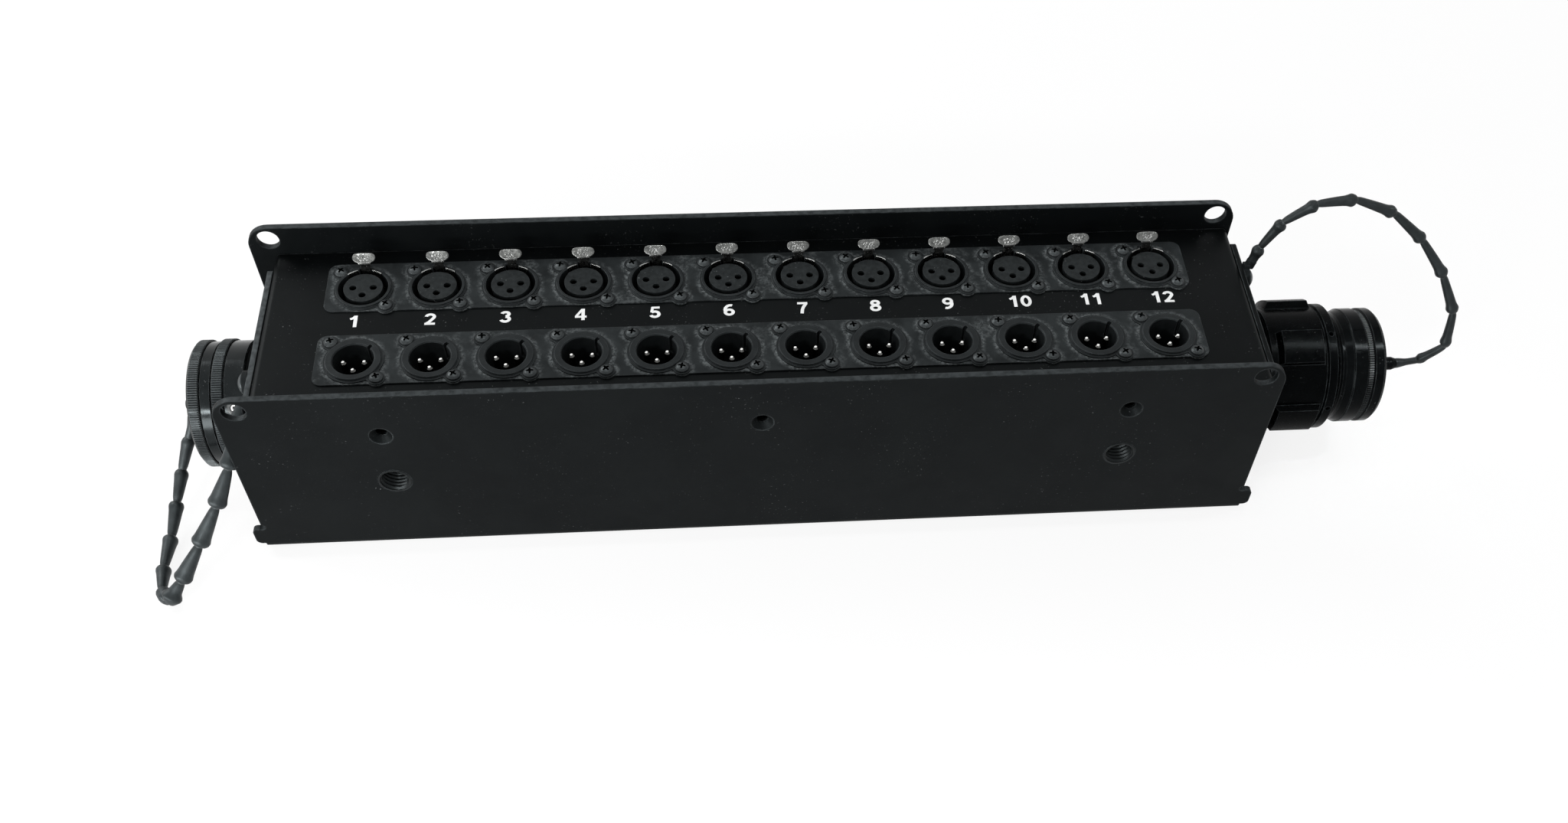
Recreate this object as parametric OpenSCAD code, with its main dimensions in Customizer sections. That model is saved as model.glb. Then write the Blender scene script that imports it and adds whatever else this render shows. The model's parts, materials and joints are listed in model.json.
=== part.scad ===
// Twelve channel stage box: two rows of round sockets in a recessed steel panel,
// a capped multipin connector at each end, and two rubber tethers for the caps.
// X runs along the box, -Y is the front, +Z is up. The bottom sheet rests on Z = 0.

/* [Chassis] */
// length of the front and rear side plates
body_len = 419; // [385:1:600]
// width over the two side plates
body_w = 97.5; // [92:0.5:130]
// height of the side plates above the surface
side_h = 93; // [88:0.5:120]
// thickness of the folded side channel
plate_t = 2.5; // [2:0.1:4]
// inner radius of the two long bottom bends
bend_in = 1.5; // [0.5:0.1:3]
// corner radius at the top of the side plates
corner_r = 9.5; // [5:0.5:11]
// how far the small bottom feet reach past the plate ends
foot_out = 4.5; // [2.5:0.5:7]
// height of the bottom feet
foot_top = 13.5; // [11:0.5:18]
// thickness of the connector panel
panel_t = 2; // [1.5:0.1:3]
// depth of the connector panel below the top of the side plates
recess = 14; // [10:0.5:18]
// distance from the left plate end to the panel's left end
left_setback = 9.5; // [5:0.5:12]
// distance from the right plate end to the panel's right end
right_setback = 1.5; // [0.5:0.5:8]
// depth of the lips that fold down along the panel's long sides
lip_drop = 17; // [14:0.5:20]

/* [Holes in the side plates] */
// diameter of the ear holes
ear_d = 9.3; // [6:0.1:10.5]
// distance from an ear hole's centre to the plate end
ear_in = 8.5; // [7.5:0.1:12]
// distance from an ear hole's centre to the plate top
ear_down = 6.2; // [6:0.1:8]
// distance between neighbouring countersunk holes
sink_step = 149.35; // [80:0.05:170]
// depth of the countersunk holes' centres below the panel's top
sink_below = 9; // [6:0.5:11]
// through diameter of the countersunk holes
sink_d = 4.6; // [3:0.1:6]
// head diameter of the countersunk holes
sink_head_d = 9.4; // [7:0.1:11]
// distance between the two threaded inserts of a side plate
insert_step = 298.7; // [150:0.1:330]
// height of the threaded inserts above the surface
insert_z = 42.4; // [30:0.1:50]
// outer diameter of the threaded inserts
insert_d = 13.4; // [12.6:0.1:16]
// bore diameter of the threaded inserts
insert_bore_d = 10.2; // [6:0.1:11]
// length of the threaded inserts
insert_len = 12; // [8:0.5:13]

/* [Sockets] */
// distance between neighbouring sockets
pitch = 30; // [28:0.5:31]
// distance between the two rows
row_gap = 40; // [38:0.5:42]
// offset of the two rows to the rear
row_shift = 2.75; // [0:0.25:4]
// offset of a socket's two screws from its centre, along and across
screw_half = 9.9; // [9.6:0.1:10.4]
// radius of the flange round a socket
flange_r = 12; // [11.9:0.1:12.6]
// height of the raised rings above the panel
ring_h = 2; // [1.8:0.1:3]
// bore radius of the female sockets
female_bore_r = 10.2; // [10:0.05:10.4]
// radius of the female contact insert
female_core_r = 7.95; // [7.2:0.05:8.2]
// bore radius of the male sockets
male_bore_r = 8.1; // [7.8:0.05:8.6]
// radius of the circle that the three contacts lie on
contact_ring_r = 4.15; // [3.8:0.05:4.5]
// radius of a male pin
pin_r = 1.2; // [1:0.05:1.3]
// travel of a latch when its tab is pressed
latch_travel = 2; // [1:0.1:2.5]
// radius of the socket screws' heads
head_r = 2.7; // [2.2:0.1:2.8]

/* [Multipin connectors] */
// height of the connector axes above the surface
axis_z = 38.7; // [36:0.1:42]
// outer radius of the connector shells
shell_r = 20; // [19:0.1:20.6]
// wall of the left coupling ring round the cap's spigot
left_ring_wall = 2.4; // [1.6:0.1:3.4]
// length of the left coupling ring
left_ring_len = 13.1; // [12:0.1:18]
// radius of the knurled left cap
left_cap_r = 26.3; // [25:0.1:28]
// length of the left cap outside its ring
left_cap_len = 9.3; // [8:0.1:14]
// wall of the right coupling ring between its ribs
right_ring_wall = 3.2; // [2.2:0.1:3.9]
// length of the right coupling ring
right_ring_len = 31; // [28:0.5:36]
// height of the ribs on the right coupling ring
rib_h = 3.2; // [2:0.1:3.6]
// width of a rib on the right coupling ring
rib_w = 14.6; // [8:0.2:16]
// radius of the right cap
right_cap_r = 24.9; // [24:0.1:26]
// length of the right cap outside its ring
right_cap_len = 20.6; // [19:0.1:26]

/* [Tethers] */
// diameter of the tether, taken as a plain cord
tether_d = 4.4; // [3.5:0.1:5]
// distance of a tether's lug from the middle plane
lug_y = 21.25; // [18:0.25:26]
// depth of a tether's lug below the panel's top
lug_below = 6; // [5.5:0.5:8]

/* [Hidden] */
$fn = 48;
channels = 12;
// Clearances: side wall to side plate, moving face to face, thread or pin to hole.
wall_gap = 0.15;
run_gap = 0.3;
stem_gap = 0.05;
// Heights and places on the chassis.
panel_z = side_h - recess;
bend_out = bend_in + plate_t;
foot_r = 2.4;
notch_r = 1.7;
panel_len = body_len - left_setback - right_setback;
panel_shift = (left_setback - right_setback) / 2;
wall_y = body_w / 2 - plate_t - wall_gap;
panel_bend = 2.5;
foot_lip = 14;
lip_t = 1.5;
lip_short = 12;
left_face = panel_shift - panel_len / 2;
right_face = panel_shift + panel_len / 2;
sink_z = panel_z - sink_below;
// End plates and their screws.
end_t = 2.2;
left_x = left_face - end_t;
right_x = right_face + end_t;
end_half_y = body_w / 2 - 9.75;
end_low = plate_t + panel_t + 0.5;
end_high = panel_z - 1;
end_corner = 3;
end_screw_in_y = 5;
end_screw_in_z = 8.3;
end_screw_ys = [-end_half_y + end_screw_in_y, end_half_y - end_screw_in_y];
end_screw_zs = [end_low + end_screw_in_z, end_high - end_screw_in_z];
m3_r = 1.25;
lug_z = panel_z - lug_below;
// Sealing pads under the socket rows.
pad_t = 0.6;
pad_corner = 4;
pad_over = 15.3;
lobe_r = 3.7;
rear_pad_y = [-12, 15.2];
front_pad_y = [-12.4, 14.4];
// Socket bodies, measured from the flange's underside.
fl_t = 0.6;
fl_z = panel_z + pad_t;
ring_top = ring_h - pad_t;
rear_y = row_shift + row_gap / 2;
front_y = row_shift - row_gap / 2;
ear_r = 3.5;
wall_t = 1;
female_body_r = female_bore_r + 1.4;
female_deep = 18;
male_body_r = 10.6;
male_deep = 16;
male_floor = -12.5;
hole_gap = 0.1;
slot_half = 2.6;
slot_y = female_body_r + 0.7;
contact_r = 1.5;
contact_bore = pin_r + 0.02;
contact_angles = [180, 0, 270];
tail_in = 3;
thread_r = 1.3;
// Latches.
neck_half = slot_half - run_gap;
neck_t = 1;
neck_y = slot_y - run_gap - neck_t;
hook_z = -9;
tab_w = 10.1;
tab_h = 5;
tab_t = 1.1;
tab_z = ring_top + latch_travel + 0.2;
// Both multipin connectors, heights counted outward from the end plate.
gasket_t = 1.2;
wall_shell = 2;
shell_in = 14;
nut_r = shell_r + 6;
nut_t = 4;
nut_z = end_t + panel_t;
insert_r = shell_r - wall_shell;
contact_step = (insert_r - 2.7) / 3;
clip_r = shell_r + 2.5;
clip_t = 1;
stem_r = 1.6;
stem_head_r = 3;
stem_head_t = 1.5;
washer_r = 4.5;
washer_t = 1;
lug_r = 5.2;
lug_t = 2.2;
lug_hole_r = 1.65;
lug_head_r = 4;
// Left connector.
left_bore_r = clip_r + 1.1;
left_ring_r = left_bore_r + left_ring_wall;
left_flange_r = left_ring_r - 0.6;
left_ring_a = 7.2;
left_ring_b = left_ring_a + left_ring_len;
left_step = left_ring_b - 6.5;
left_shell_end = left_ring_b - 3.3;
left_cap_a = left_ring_b + 0.6;
left_cap_b = left_cap_a + left_cap_len;
left_pin_end = left_shell_end - 3;
set_screw_r = 1.4;
set_screw_z = left_ring_a + 4;
set_screw_turn = -47;
// Right connector.
right_flange_rim = 3;
right_flange_r = shell_r + right_flange_rim;
right_ring_a = 7.7;
right_ring_b = right_ring_a + right_ring_len;
right_bore_r = clip_r + 0.6;
right_ring_r = right_bore_r + right_ring_wall;
right_ring_hub = 12;
right_clip_in = 8.3;
right_step = right_ring_a + right_ring_hub;
right_shell_end = right_step + right_clip_in;
right_cap_a = right_ring_b + run_gap;
right_cap_b = right_cap_a + right_cap_len;
right_spigot = right_shell_end - 3;
rib_count = 5;
rib_turn = 133;
rib_a = right_ring_a + 3;
rib_b = right_ring_b - 6.6;
// Wiring.
loom_drop = 33;
loom_z = panel_z - loom_drop;
loom_r = 4;
tail_r = 3;
// Routes of the two tethers, from the cap's knob to the lug on the end plate. The points
// are counted from the middle of the cap's face, from the plate's foot and from the lug.
left_cap_at = [left_x - left_cap_b, 0, axis_z];
left_foot_at = [left_x, 0, 0];
left_lug_at = [left_x, -lug_y, lug_z];
left_route = concat(from_place(left_cap_at, [[-6.1, -2.5, -4.2], [-9.6, -7, -11.7], [-12.6, -13.5, -18.7]]),
    from_place(left_foot_at, [[-45.3, -21.5, 14], [-46.8, -30, 9], [-47.8, -39.5, 5], [-48.8, -50, 3.5],
        [-48.8, -60, 3.5], [-47.3, -70.5, 4.5], [-42.8, -78, 6], [-36.8, -73.5, 12.5]]),
    from_place(left_lug_at, [[-31.3, -47.25, -53], [-25.8, -42.25, -46], [-20.8, -37.25, -38.5],
        [-15.8, -31.75, -31], [-11.8, -26.25, -23.5], [-8.3, -19.75, -16], [-5.8, -12.75, -9.5],
        [-3.3, -6.75, -5]]));
right_cap_at = [right_x + right_cap_b, 0, axis_z];
right_lug_at = [right_x, lug_y, lug_z];
right_route = concat(from_place(right_cap_at, [[14.2, 0, 0], [18.7, 0, 0], [25.2, 0, 2.3], [31.7, -1.5, 10.3],
        [32.7, 0.5, 20.8], [30.7, 4, 30.8], [26.2, 8.5, 39.3], [20.7, 12.5, 47.8], [13.7, 17, 55.3],
        [6.2, 20, 61.8], [-2.3, 22.5, 67.8]]),
    from_place(right_lug_at, [[47.3, 2.75, 37.5], [36.8, 3.75, 39.5], [25.8, 4.25, 37.5], [16.3, 3.75, 32.5],
        [9.8, 3.75, 24.5], [5.8, 3.25, 16], [3.3, 2.25, 8]]));
cord_sides = 8;

// Colours, as the photograph shows them.
sheet_black = [0.055, 0.057, 0.06];
panel_black = [0.07, 0.072, 0.075];
shell_black = [0.09, 0.09, 0.092];
core_grey = [0.2, 0.2, 0.2];
deep_black = [0.03, 0.03, 0.03];
nickel = [0.82, 0.82, 0.8];
steel = [0.6, 0.6, 0.6];
dark_metal = [0.12, 0.12, 0.12];
gold = [0.8, 0.65, 0.3];

// Position of channel k along the box, counted from 1 at the left.
function ch_x(k) = panel_shift + (k - (channels + 1) / 2) * pitch;

// Points counted from place c.
function from_place(c, p) = [for (q = p) c + q];

// Direction of a route at point i.
function unit(v) = v / norm(v);
function step_dir(p, i) = unit(p[i + 1] - p[i]);
function route_dir(p, i) = i == 0 ? step_dir(p, 0) :
    i == len(p) - 1 ? step_dir(p, i - 1) : unit(step_dir(p, i) + step_dir(p, i - 1));

// Side directions carried along a route without twist.
function flat_to(s, t) = unit(s - (s * t) * t);
function route_sides(p, i, s) = i == len(p) ? [] :
    let (n = flat_to(s, route_dir(p, i))) concat([n], route_sides(p, i + 1, n));

// Points of the ring round point c, square to t.
function ring_pts(c, t, n, r) = [for (a = [0 : cord_sides - 1])
    c + r * (cos(a * 360 / cord_sides) * n + sin(a * 360 / cord_sides) * cross(t, n))];

// Places its children outward along a connector axis, left end or right end.
module at_left(y = 0, z = axis_z) {
    translate([left_x, y, z]) rotate([0, -90, 0]) children();
}

module at_right(y = 0, z = axis_z) {
    translate([right_x, y, z]) rotate([0, 90, 0]) children();
}

// Round bar across the whole box, along X or along Y.
module bar_x(y, z, r) {
    translate([-body_len, y, z]) rotate([0, 90, 0]) cylinder(r = r, h = 2 * body_len);
}

module bar_y(x, z, r) {
    translate([x, body_w, z]) rotate([90, 0, 0]) cylinder(r = r, h = 2 * body_w);
}

// Disc from height a to height b, and a tube of the same heights.
module drum(r, a, b) {
    translate([0, 0, a]) cylinder(r = r, h = b - a);
}

module tube(ro, ri, a, b) {
    difference() {
        drum(ro, a, b);
        drum(ri, a - 1, b + 1);
    }
}

// Tapered disc from radius r1 at height a to r2 at b.
module taper(r1, r2, a, b) {
    translate([0, 0, a]) cylinder(r1 = r1, r2 = r2, h = b - a);
}

// Flat rounded rectangle made of bars and corner discs.
module round_box(w, h, r) {
    square([w - 2 * r, h], center = true);
    square([w, h - 2 * r], center = true);
    for (x = [-1, 1]) {
        for (y = [-1, 1]) {
            translate([x * (w / 2 - r), y * (h / 2 - r)]) circle(r = r);
        }
    }
}

// Straight rod between two points.
module rod(p, q, r) {
    d = q - p;
    translate(p) rotate([0, acos(d[2] / norm(d)), atan2(d[1], d[0])]) cylinder(r = r, h = norm(d));
}

// Tube along a route, with flat ends square to the route.
module cord(p, r) {
    m = cord_sides;
    last = (len(p) - 1) * m;
    side = route_sides(p, 0, [0, 1, 0.3]);
    rings = [for (i = [0 : len(p) - 1]) each ring_pts(p[i], route_dir(p, i), side[i], r)];
    walls = [for (i = [0 : len(p) - 2]) each [for (a = [0 : m - 1])
        each [[i * m + a, (i + 1) * m + a, (i + 1) * m + (a + 1) % m],
            [i * m + a, (i + 1) * m + (a + 1) % m, i * m + (a + 1) % m]]]];
    ends = [[for (a = [0 : m - 1]) a], [for (a = [m - 1 : -1 : 0]) last + a]];
    polyhedron(points = rings, faces = concat(walls, ends));
}

// Round boss that carries the end of a tether, of length h behind the route's end p0.
module cord_root(p0, p1, h) {
    rod(p0 - h * unit(p1 - p0), p0, tether_d / 2);
}

// Domed head of radius r and height h standing on Z = 0, with a cross slot.
module cross_head(r, h) {
    ball = (r * r + h * h * 0.45) / (1.35 * h);
    slot_w = 0.26 * r;
    slot_l = 1.1 * r;
    difference() {
        intersection() {
            cylinder(r = r, h = h);
            translate([0, 0, h - ball]) sphere(r = ball);
        }
        for (a = [0, 90]) {
            rotate([0, 0, a]) translate([-slot_l / 2, -slot_w / 2, h * 0.42]) cube([slot_l, slot_w, h]);
        }
    }
}

// Outline of a side plate, seen from the front, with its two bottom feet.
module plate_outline() {
    half = body_len / 2;
    foot_x = half + foot_out - foot_r;
    difference() {
        union() {
            translate([-half, bend_out]) square([body_len, side_h - corner_r - bend_out]);
            translate([-half + corner_r, bend_out]) square([body_len - 2 * corner_r, side_h - bend_out]);
            for (s = [-1, 1]) {
                translate([s * (half - corner_r), side_h - corner_r]) circle(r = corner_r);
                for (z = [bend_out + foot_r, foot_top - foot_r]) {
                    translate([s * foot_x, z]) circle(r = foot_r);
                }
                translate([s * foot_x - foot_r, bend_out + foot_r])
                    square([2 * foot_r, foot_top - bend_out - 2 * foot_r]);
                translate([min(s * foot_x, s * (half - 8)), bend_out])
                    square([foot_x - half + 8, foot_top - bend_out]);
            }
        }
        for (s = [-1, 1]) {
            translate([s * (half + 0.2), foot_top + notch_r - 0.4]) circle(r = notch_r);
        }
    }
}

// Section of a folded sheet: a flat bottom w wide with two bends, h tall.
module bend_section(w, h, r) {
    translate([-w / 2 + r, 0]) square([w - 2 * r, h]);
    translate([-w / 2, r]) square([w, h - r]);
    for (s = [-1, 1]) {
        translate([s * (w / 2 - r), r]) circle(r = r);
    }
}

// Folded channel: bottom sheet, two bends and both side plates with their holes.
module side_channel() {
    sheet_len = body_len + 2;
    color(sheet_black)
    difference() {
        union() {
            translate([-sheet_len / 2, 0, 0]) rotate([90, 0, 90])
                linear_extrude(sheet_len) difference() {
                    bend_section(body_w, bend_out + 0.5, bend_out);
                    translate([0, plate_t]) bend_section(body_w - 2 * plate_t, bend_out + 2, bend_in);
                }
            for (s = [-1, 1]) {
                translate([0, s * (body_w - plate_t) / 2 + plate_t / 2, 0]) rotate([90, 0, 0])
                    linear_extrude(plate_t) plate_outline();
            }
        }
        for (s = [-1, 1]) {
            bar_y(s * (body_len / 2 - ear_in), side_h - ear_down, ear_d / 2);
            bar_y(s * insert_step / 2, insert_z, insert_d / 2);
        }
        for (i = [-1 : 1]) {
            bar_y(i * sink_step, sink_z, sink_d / 2);
            for (s = [-1, 1]) {
                deep = (sink_head_d - sink_d) / 2;
                translate([i * sink_step, s * (body_w / 2 - min(deep, plate_t - 0.2)), sink_z])
                    rotate([-90 * s, 0, 0]) cylinder(d1 = sink_d, d2 = sink_head_d, h = deep);
            }
        }
    }
}

// Panel outline seen from the front: top sheet, folded ends and bottom lips.
module panel_section() {
    h = panel_z - plate_t;
    difference() {
        translate([0, h]) mirror([0, 1]) bend_section(panel_len, h, panel_bend);
        translate([0, h - panel_t]) mirror([0, 1])
            bend_section(panel_len - 2 * panel_t, h + 1, panel_bend - 1.4);
    }
    for (s = [-1, 1]) {
        translate([s * (panel_len - foot_lip) / 2 - foot_lip / 2, 0]) square([foot_lip, panel_t]);
    }
}

// Hole for a socket body, with the slot that its latch moves in.
module body_hole(r, slot) {
    cylinder(r = r, h = 30, center = true);
    if (slot) {
        translate([-slot_half - 0.6, r / 2, -15]) cube([2 * slot_half + 1.2, slot_y + 0.4 - r / 2, 30]);
    }
}

// The two screw places of a socket, on one diagonal.
module at_screws() {
    for (s = [-1, 1]) {
        translate([s * screw_half, -s * screw_half, 0]) children();
    }
}

// Every socket place of a row at height z.
module at_row(y, z) {
    for (k = [1 : channels]) {
        translate([ch_x(k), y, z]) children();
    }
}

module connector_panel() {
    lip_len = panel_len - 2 * lip_short;
    color(panel_black)
    difference() {
        union() {
            translate([panel_shift, wall_y, plate_t]) rotate([90, 0, 0])
                linear_extrude(2 * wall_y) panel_section();
            for (s = [-1, 1]) {
                translate([panel_shift - lip_len / 2, s * (wall_y - lip_t / 2) - lip_t / 2, panel_z - lip_drop])
                    cube([lip_len, lip_t, lip_drop - 0.5]);
            }
        }
        for (s = [-1, 1]) {
            translate([-body_len, s * body_w / 2 - bend_out, 0]) cube([2 * body_len, 2 * bend_out, bend_out]);
        }
        at_row(rear_y, panel_z) body_hole(female_body_r + hole_gap, true);
        at_row(front_y, panel_z) body_hole(male_body_r + hole_gap, false);
        for (y = [rear_y, front_y]) {
            at_row(y, panel_z) at_screws() cylinder(r = thread_r, h = 30, center = true);
        }
        bar_x(0, axis_z, shell_r);
        for (i = [-1 : 1]) {
            bar_y(i * sink_step, sink_z, sink_d / 2);
        }
        for (y = end_screw_ys) {
            for (z = end_screw_zs) {
                bar_x(y, z, m3_r);
            }
        }
        translate([left_face, -lug_y, lug_z]) rotate([0, 90, 0])
            cylinder(r = lug_hole_r, h = 12, center = true);
        translate([right_face, lug_y, lug_z]) rotate([0, 90, 0])
            cylinder(r = lug_hole_r, h = 12, center = true);
    }
}

// End plate between x and x + end_t, with its lug hole at y.
module end_plate(x, y) {
    color(panel_black)
    difference() {
        translate([x, 0, (end_low + end_high) / 2]) rotate([90, 0, 90])
            linear_extrude(end_t) round_box(2 * end_half_y, end_high - end_low, end_corner);
        bar_x(0, axis_z, shell_r);
        for (sy = end_screw_ys) {
            for (sz = end_screw_zs) {
                bar_x(sy, sz, m3_r);
            }
        }
        bar_x(y, lug_z, lug_hole_r);
    }
}

module left_end_plate() {
    end_plate(left_x, -lug_y);
}

module right_end_plate() {
    end_plate(right_face, lug_y);
}

module end_plate_screw() {
    cross_head(2.7, 1.8);
    drum(m3_r, -6, 0.2);
}

module end_plate_screws() {
    color(steel)
    for (y = end_screw_ys) {
        for (z = end_screw_zs) {
            at_left(y, z) end_plate_screw();
            at_right(y, z) end_plate_screw();
        }
    }
}

// Threaded insert pressed into a side plate: rim, barrel and a collar behind the plate.
module threaded_insert() {
    rim = 0.25;
    bevel = 0.75;
    r = insert_d / 2;
    bore = insert_bore_d / 2;
    difference() {
        union() {
            taper(r - 0.4, r, 0, 0.4);
            drum(r, 0.4, rim + plate_t + 0.5);
            drum(r + 1.5, rim + plate_t, rim + plate_t + 2.2);
            drum(r, rim + plate_t + 1, insert_len);
        }
        drum(bore, -1, insert_len + 1);
        taper(bore + bevel, bore - 0.05, -0.05, bevel);
    }
}

module threaded_inserts() {
    color(core_grey)
    for (s = [-1, 1]) {
        for (e = [-1, 1]) {
            translate([s * insert_step / 2, e * (body_w / 2 + 0.25), insert_z]) rotate([90 * e, 0, 0])
                threaded_insert();
        }
    }
}

// Sealing pad under one row, from y[0] to y[1], with small lobes round the front screws.
module pad(y, row_y, r_body, slot) {
    w = (channels - 1) * pitch + 2 * pad_over;
    color(dark_metal)
    difference() {
        union() {
            translate([panel_shift, row_y + (y[0] + y[1]) / 2, panel_z])
                linear_extrude(pad_t) round_box(w, y[1] - y[0], pad_corner);
            at_row(row_y, panel_z) translate([screw_half, -screw_half, 0]) cylinder(r = lobe_r, h = pad_t);
        }
        at_row(row_y, panel_z) body_hole(r_body + hole_gap, slot);
        at_row(row_y, panel_z) at_screws() drum(thread_r, -1, 3);
    }
}

module rear_pad() {
    pad(rear_pad_y, rear_y, female_body_r, true);
}

module front_pad() {
    pad(front_pad_y, front_y, male_body_r, false);
}

// Flange of a socket: a disc with an ear round each of the two screws.
module flange() {
    difference() {
        linear_extrude(fl_t) {
            circle(r = flange_r);
            for (s = [-1, 1]) {
                translate([-s * screw_half, s * screw_half]) circle(r = ear_r);
                rotate([0, 0, s * 90 + 45]) translate([0, 0.3 - ear_r])
                    square([screw_half * sqrt(2), 2 * ear_r - 0.6]);
            }
        }
        at_screws() drum(thread_r, -1, 3);
    }
}

module female_shell() {
    difference() {
        union() {
            flange();
            drum(female_bore_r + wall_t, 0, ring_top);
            drum(female_body_r, -female_deep, fl_t / 2);
        }
        drum(female_bore_r, -female_deep - 1, 5);
        translate([-slot_half, 5, hook_z - 6]) cube([2 * slot_half, slot_y - 5, 20]);
    }
}

module female_shells() {
    color(shell_black) at_row(rear_y, fl_z) female_shell();
}

// The three contact places of a socket.
module at_contacts() {
    for (a = contact_angles) {
        rotate([0, 0, a]) translate([contact_ring_r, 0, 0]) children();
    }
}

// Core of a female socket on its base disc, with the key that fits a plug's groove.
module female_core() {
    difference() {
        union() {
            drum(female_bore_r, -female_deep, -female_deep + 2.5);
            drum(female_core_r, -female_deep + 1, ring_top - 0.1);
            rotate([0, 0, 135]) translate([female_core_r - 1, -0.7, -9]) cube([1.8, 1.4, 9.6]);
        }
        at_contacts() cylinder(r = contact_r, h = 60, center = true);
    }
}

module female_inserts() {
    color(core_grey) at_row(rear_y, fl_z) female_core();
}

module female_contacts() {
    color(steel) at_row(rear_y, fl_z) at_contacts() difference() {
        drum(contact_r, -female_deep - tail_in, 0.2);
        drum(contact_bore, -16, 1);
    }
}

// Bright rim spring: two thin arcs inside the rear of each opening.
module rim_springs() {
    color(nickel)
    at_row(rear_y, fl_z) for (s = [-1, 1]) {
        intersection() {
            tube(female_bore_r, female_bore_r - 0.5, -6, ring_h);
            translate([s * 4.9 - 1.9, 6, -7]) cube([3.8, 6, 12]);
        }
    }
}

// Latch: a neck in the rear slot, a hook below and a leaning push tab on top.
module latch(k) {
    color(nickel)
    translate([ch_x(k), rear_y, fl_z]) {
        translate([-neck_half, neck_y, hook_z]) cube([2 * neck_half, neck_t, tab_z - hook_z + 0.4]);
        translate([-neck_half, neck_y - 0.7, hook_z]) cube([2 * neck_half, 1.2, 1.4]);
        translate([0, neck_y + 0.2, tab_z]) rotate([45, 0, 0]) linear_extrude(tab_t) {
            translate([-neck_half, -0.4]) square([2 * neck_half, 1.4]);
            translate([0, tab_h / 2 + 0.4]) round_box(tab_w, tab_h, 2.3);
        }
    }
}

module male_shell() {
    bevel = 0.5;
    difference() {
        union() {
            flange();
            drum(female_bore_r + wall_t - 0.1, 0, ring_top - 0.3);
            taper(female_bore_r + wall_t - 0.1, female_bore_r + wall_t - 0.4, ring_top - 0.3, ring_top);
            drum(male_body_r, -male_deep, fl_t / 2);
        }
        drum(male_bore_r, -male_deep - 1, 5);
        taper(male_bore_r - 0.05, male_bore_r + bevel, ring_top - bevel, ring_top + 0.05);
        rotate([0, 0, 47]) translate([male_bore_r - 1, -0.8, -7]) cube([2.8, 1.6, 12]);
    }
}

module male_shells() {
    color(shell_black) at_row(front_y, fl_z) male_shell();
}

module male_inserts() {
    color(deep_black)
    at_row(front_y, fl_z) difference() {
        drum(male_bore_r, -male_deep, male_floor);
        at_contacts() cylinder(r = pin_r, h = 60, center = true);
    }
}

module male_pins() {
    tip = -0.2;
    color(nickel)
    at_row(front_y, fl_z) at_contacts() {
        drum(pin_r, -male_deep - tail_in - 1, tip - 0.6);
        taper(pin_r, pin_r / 2, tip - 0.6, tip);
    }
}

module socket_screw() {
    translate([0, 0, fl_t]) cross_head(head_r, 1.7);
    drum(thread_r, -6, fl_t + 0.2);
}

module socket_screws() {
    color(dark_metal)
    for (k = [1 : channels]) {
        for (y = [rear_y, front_y]) {
            translate([ch_x(k), y, fl_z]) at_screws() rotate([0, 0, 37 * k + y]) socket_screw();
        }
    }
}

// Contact places of a multipin: one in the centre and rings of 6, 12 and 18.
module at_multipin() {
    children();
    for (n = [1 : 3]) {
        for (i = [0 : 6 * n - 1]) {
            rotate([0, 0, i * 60 / n]) translate([contact_step * n, 0, 0]) children();
        }
    }
}

// Shell tube through the end plate, up to height b, with a flange of radius r.
module shell(b, r, r_top) {
    tube(shell_r, insert_r, -shell_in, b);
    tube(r, shell_r - 0.5, gasket_t, r_top);
}

module jam_nut() {
    difference() {
        translate([0, 0, -nut_z - nut_t]) rotate([0, 0, 30]) cylinder(r = nut_r, h = nut_t, $fn = 6);
        drum(shell_r, -nut_z - nut_t - 1, 0);
    }
}

// Turning pivot of a cap: head inside at height a, stem, and a washer outside at b.
module pivot(a, b) {
    drum(stem_head_r, a - stem_head_t, a);
    drum(stem_r, a - 0.1, b + washer_t);
    drum(washer_r, b + 0.1, b + 0.1 + washer_t);
}

// Flat rubber eyelet of a tether, held under the lug screw, its tab turned to an angle.
module lug(angle) {
    difference() {
        union() {
            drum(lug_r, 0, lug_t);
            rotate([0, 0, angle]) translate([lug_head_r + 0.2, -2, 0]) cube([2.6, 4, lug_t + 0.1]);
        }
        drum(lug_hole_r, -1, lug_t + 1);
    }
}

module lug_screw() {
    translate([0, 0, lug_t]) cross_head(lug_head_r, 2.6);
    drum(lug_hole_r, -7, lug_t + 0.2);
}

// Left connector.
module left_shell() {
    color(deep_black) at_left() shell(left_shell_end, left_flange_r, left_ring_a - run_gap);
}

module left_gasket() {
    color(deep_black) at_left() tube(left_flange_r + 0.4, shell_r, 0, gasket_t);
}

module left_nut() {
    color(steel) at_left() jam_nut();
}

module left_insert() {
    color(deep_black) at_left() difference() {
        drum(insert_r, -10, 6);
        at_multipin() drum(0.8, -11, 7);
    }
}

module left_pins() {
    color(gold) at_left() at_multipin() {
        drum(0.8, -14, left_pin_end - 0.6);
        taper(0.8, 0.4, left_pin_end - 0.6, left_pin_end);
    }
}

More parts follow.
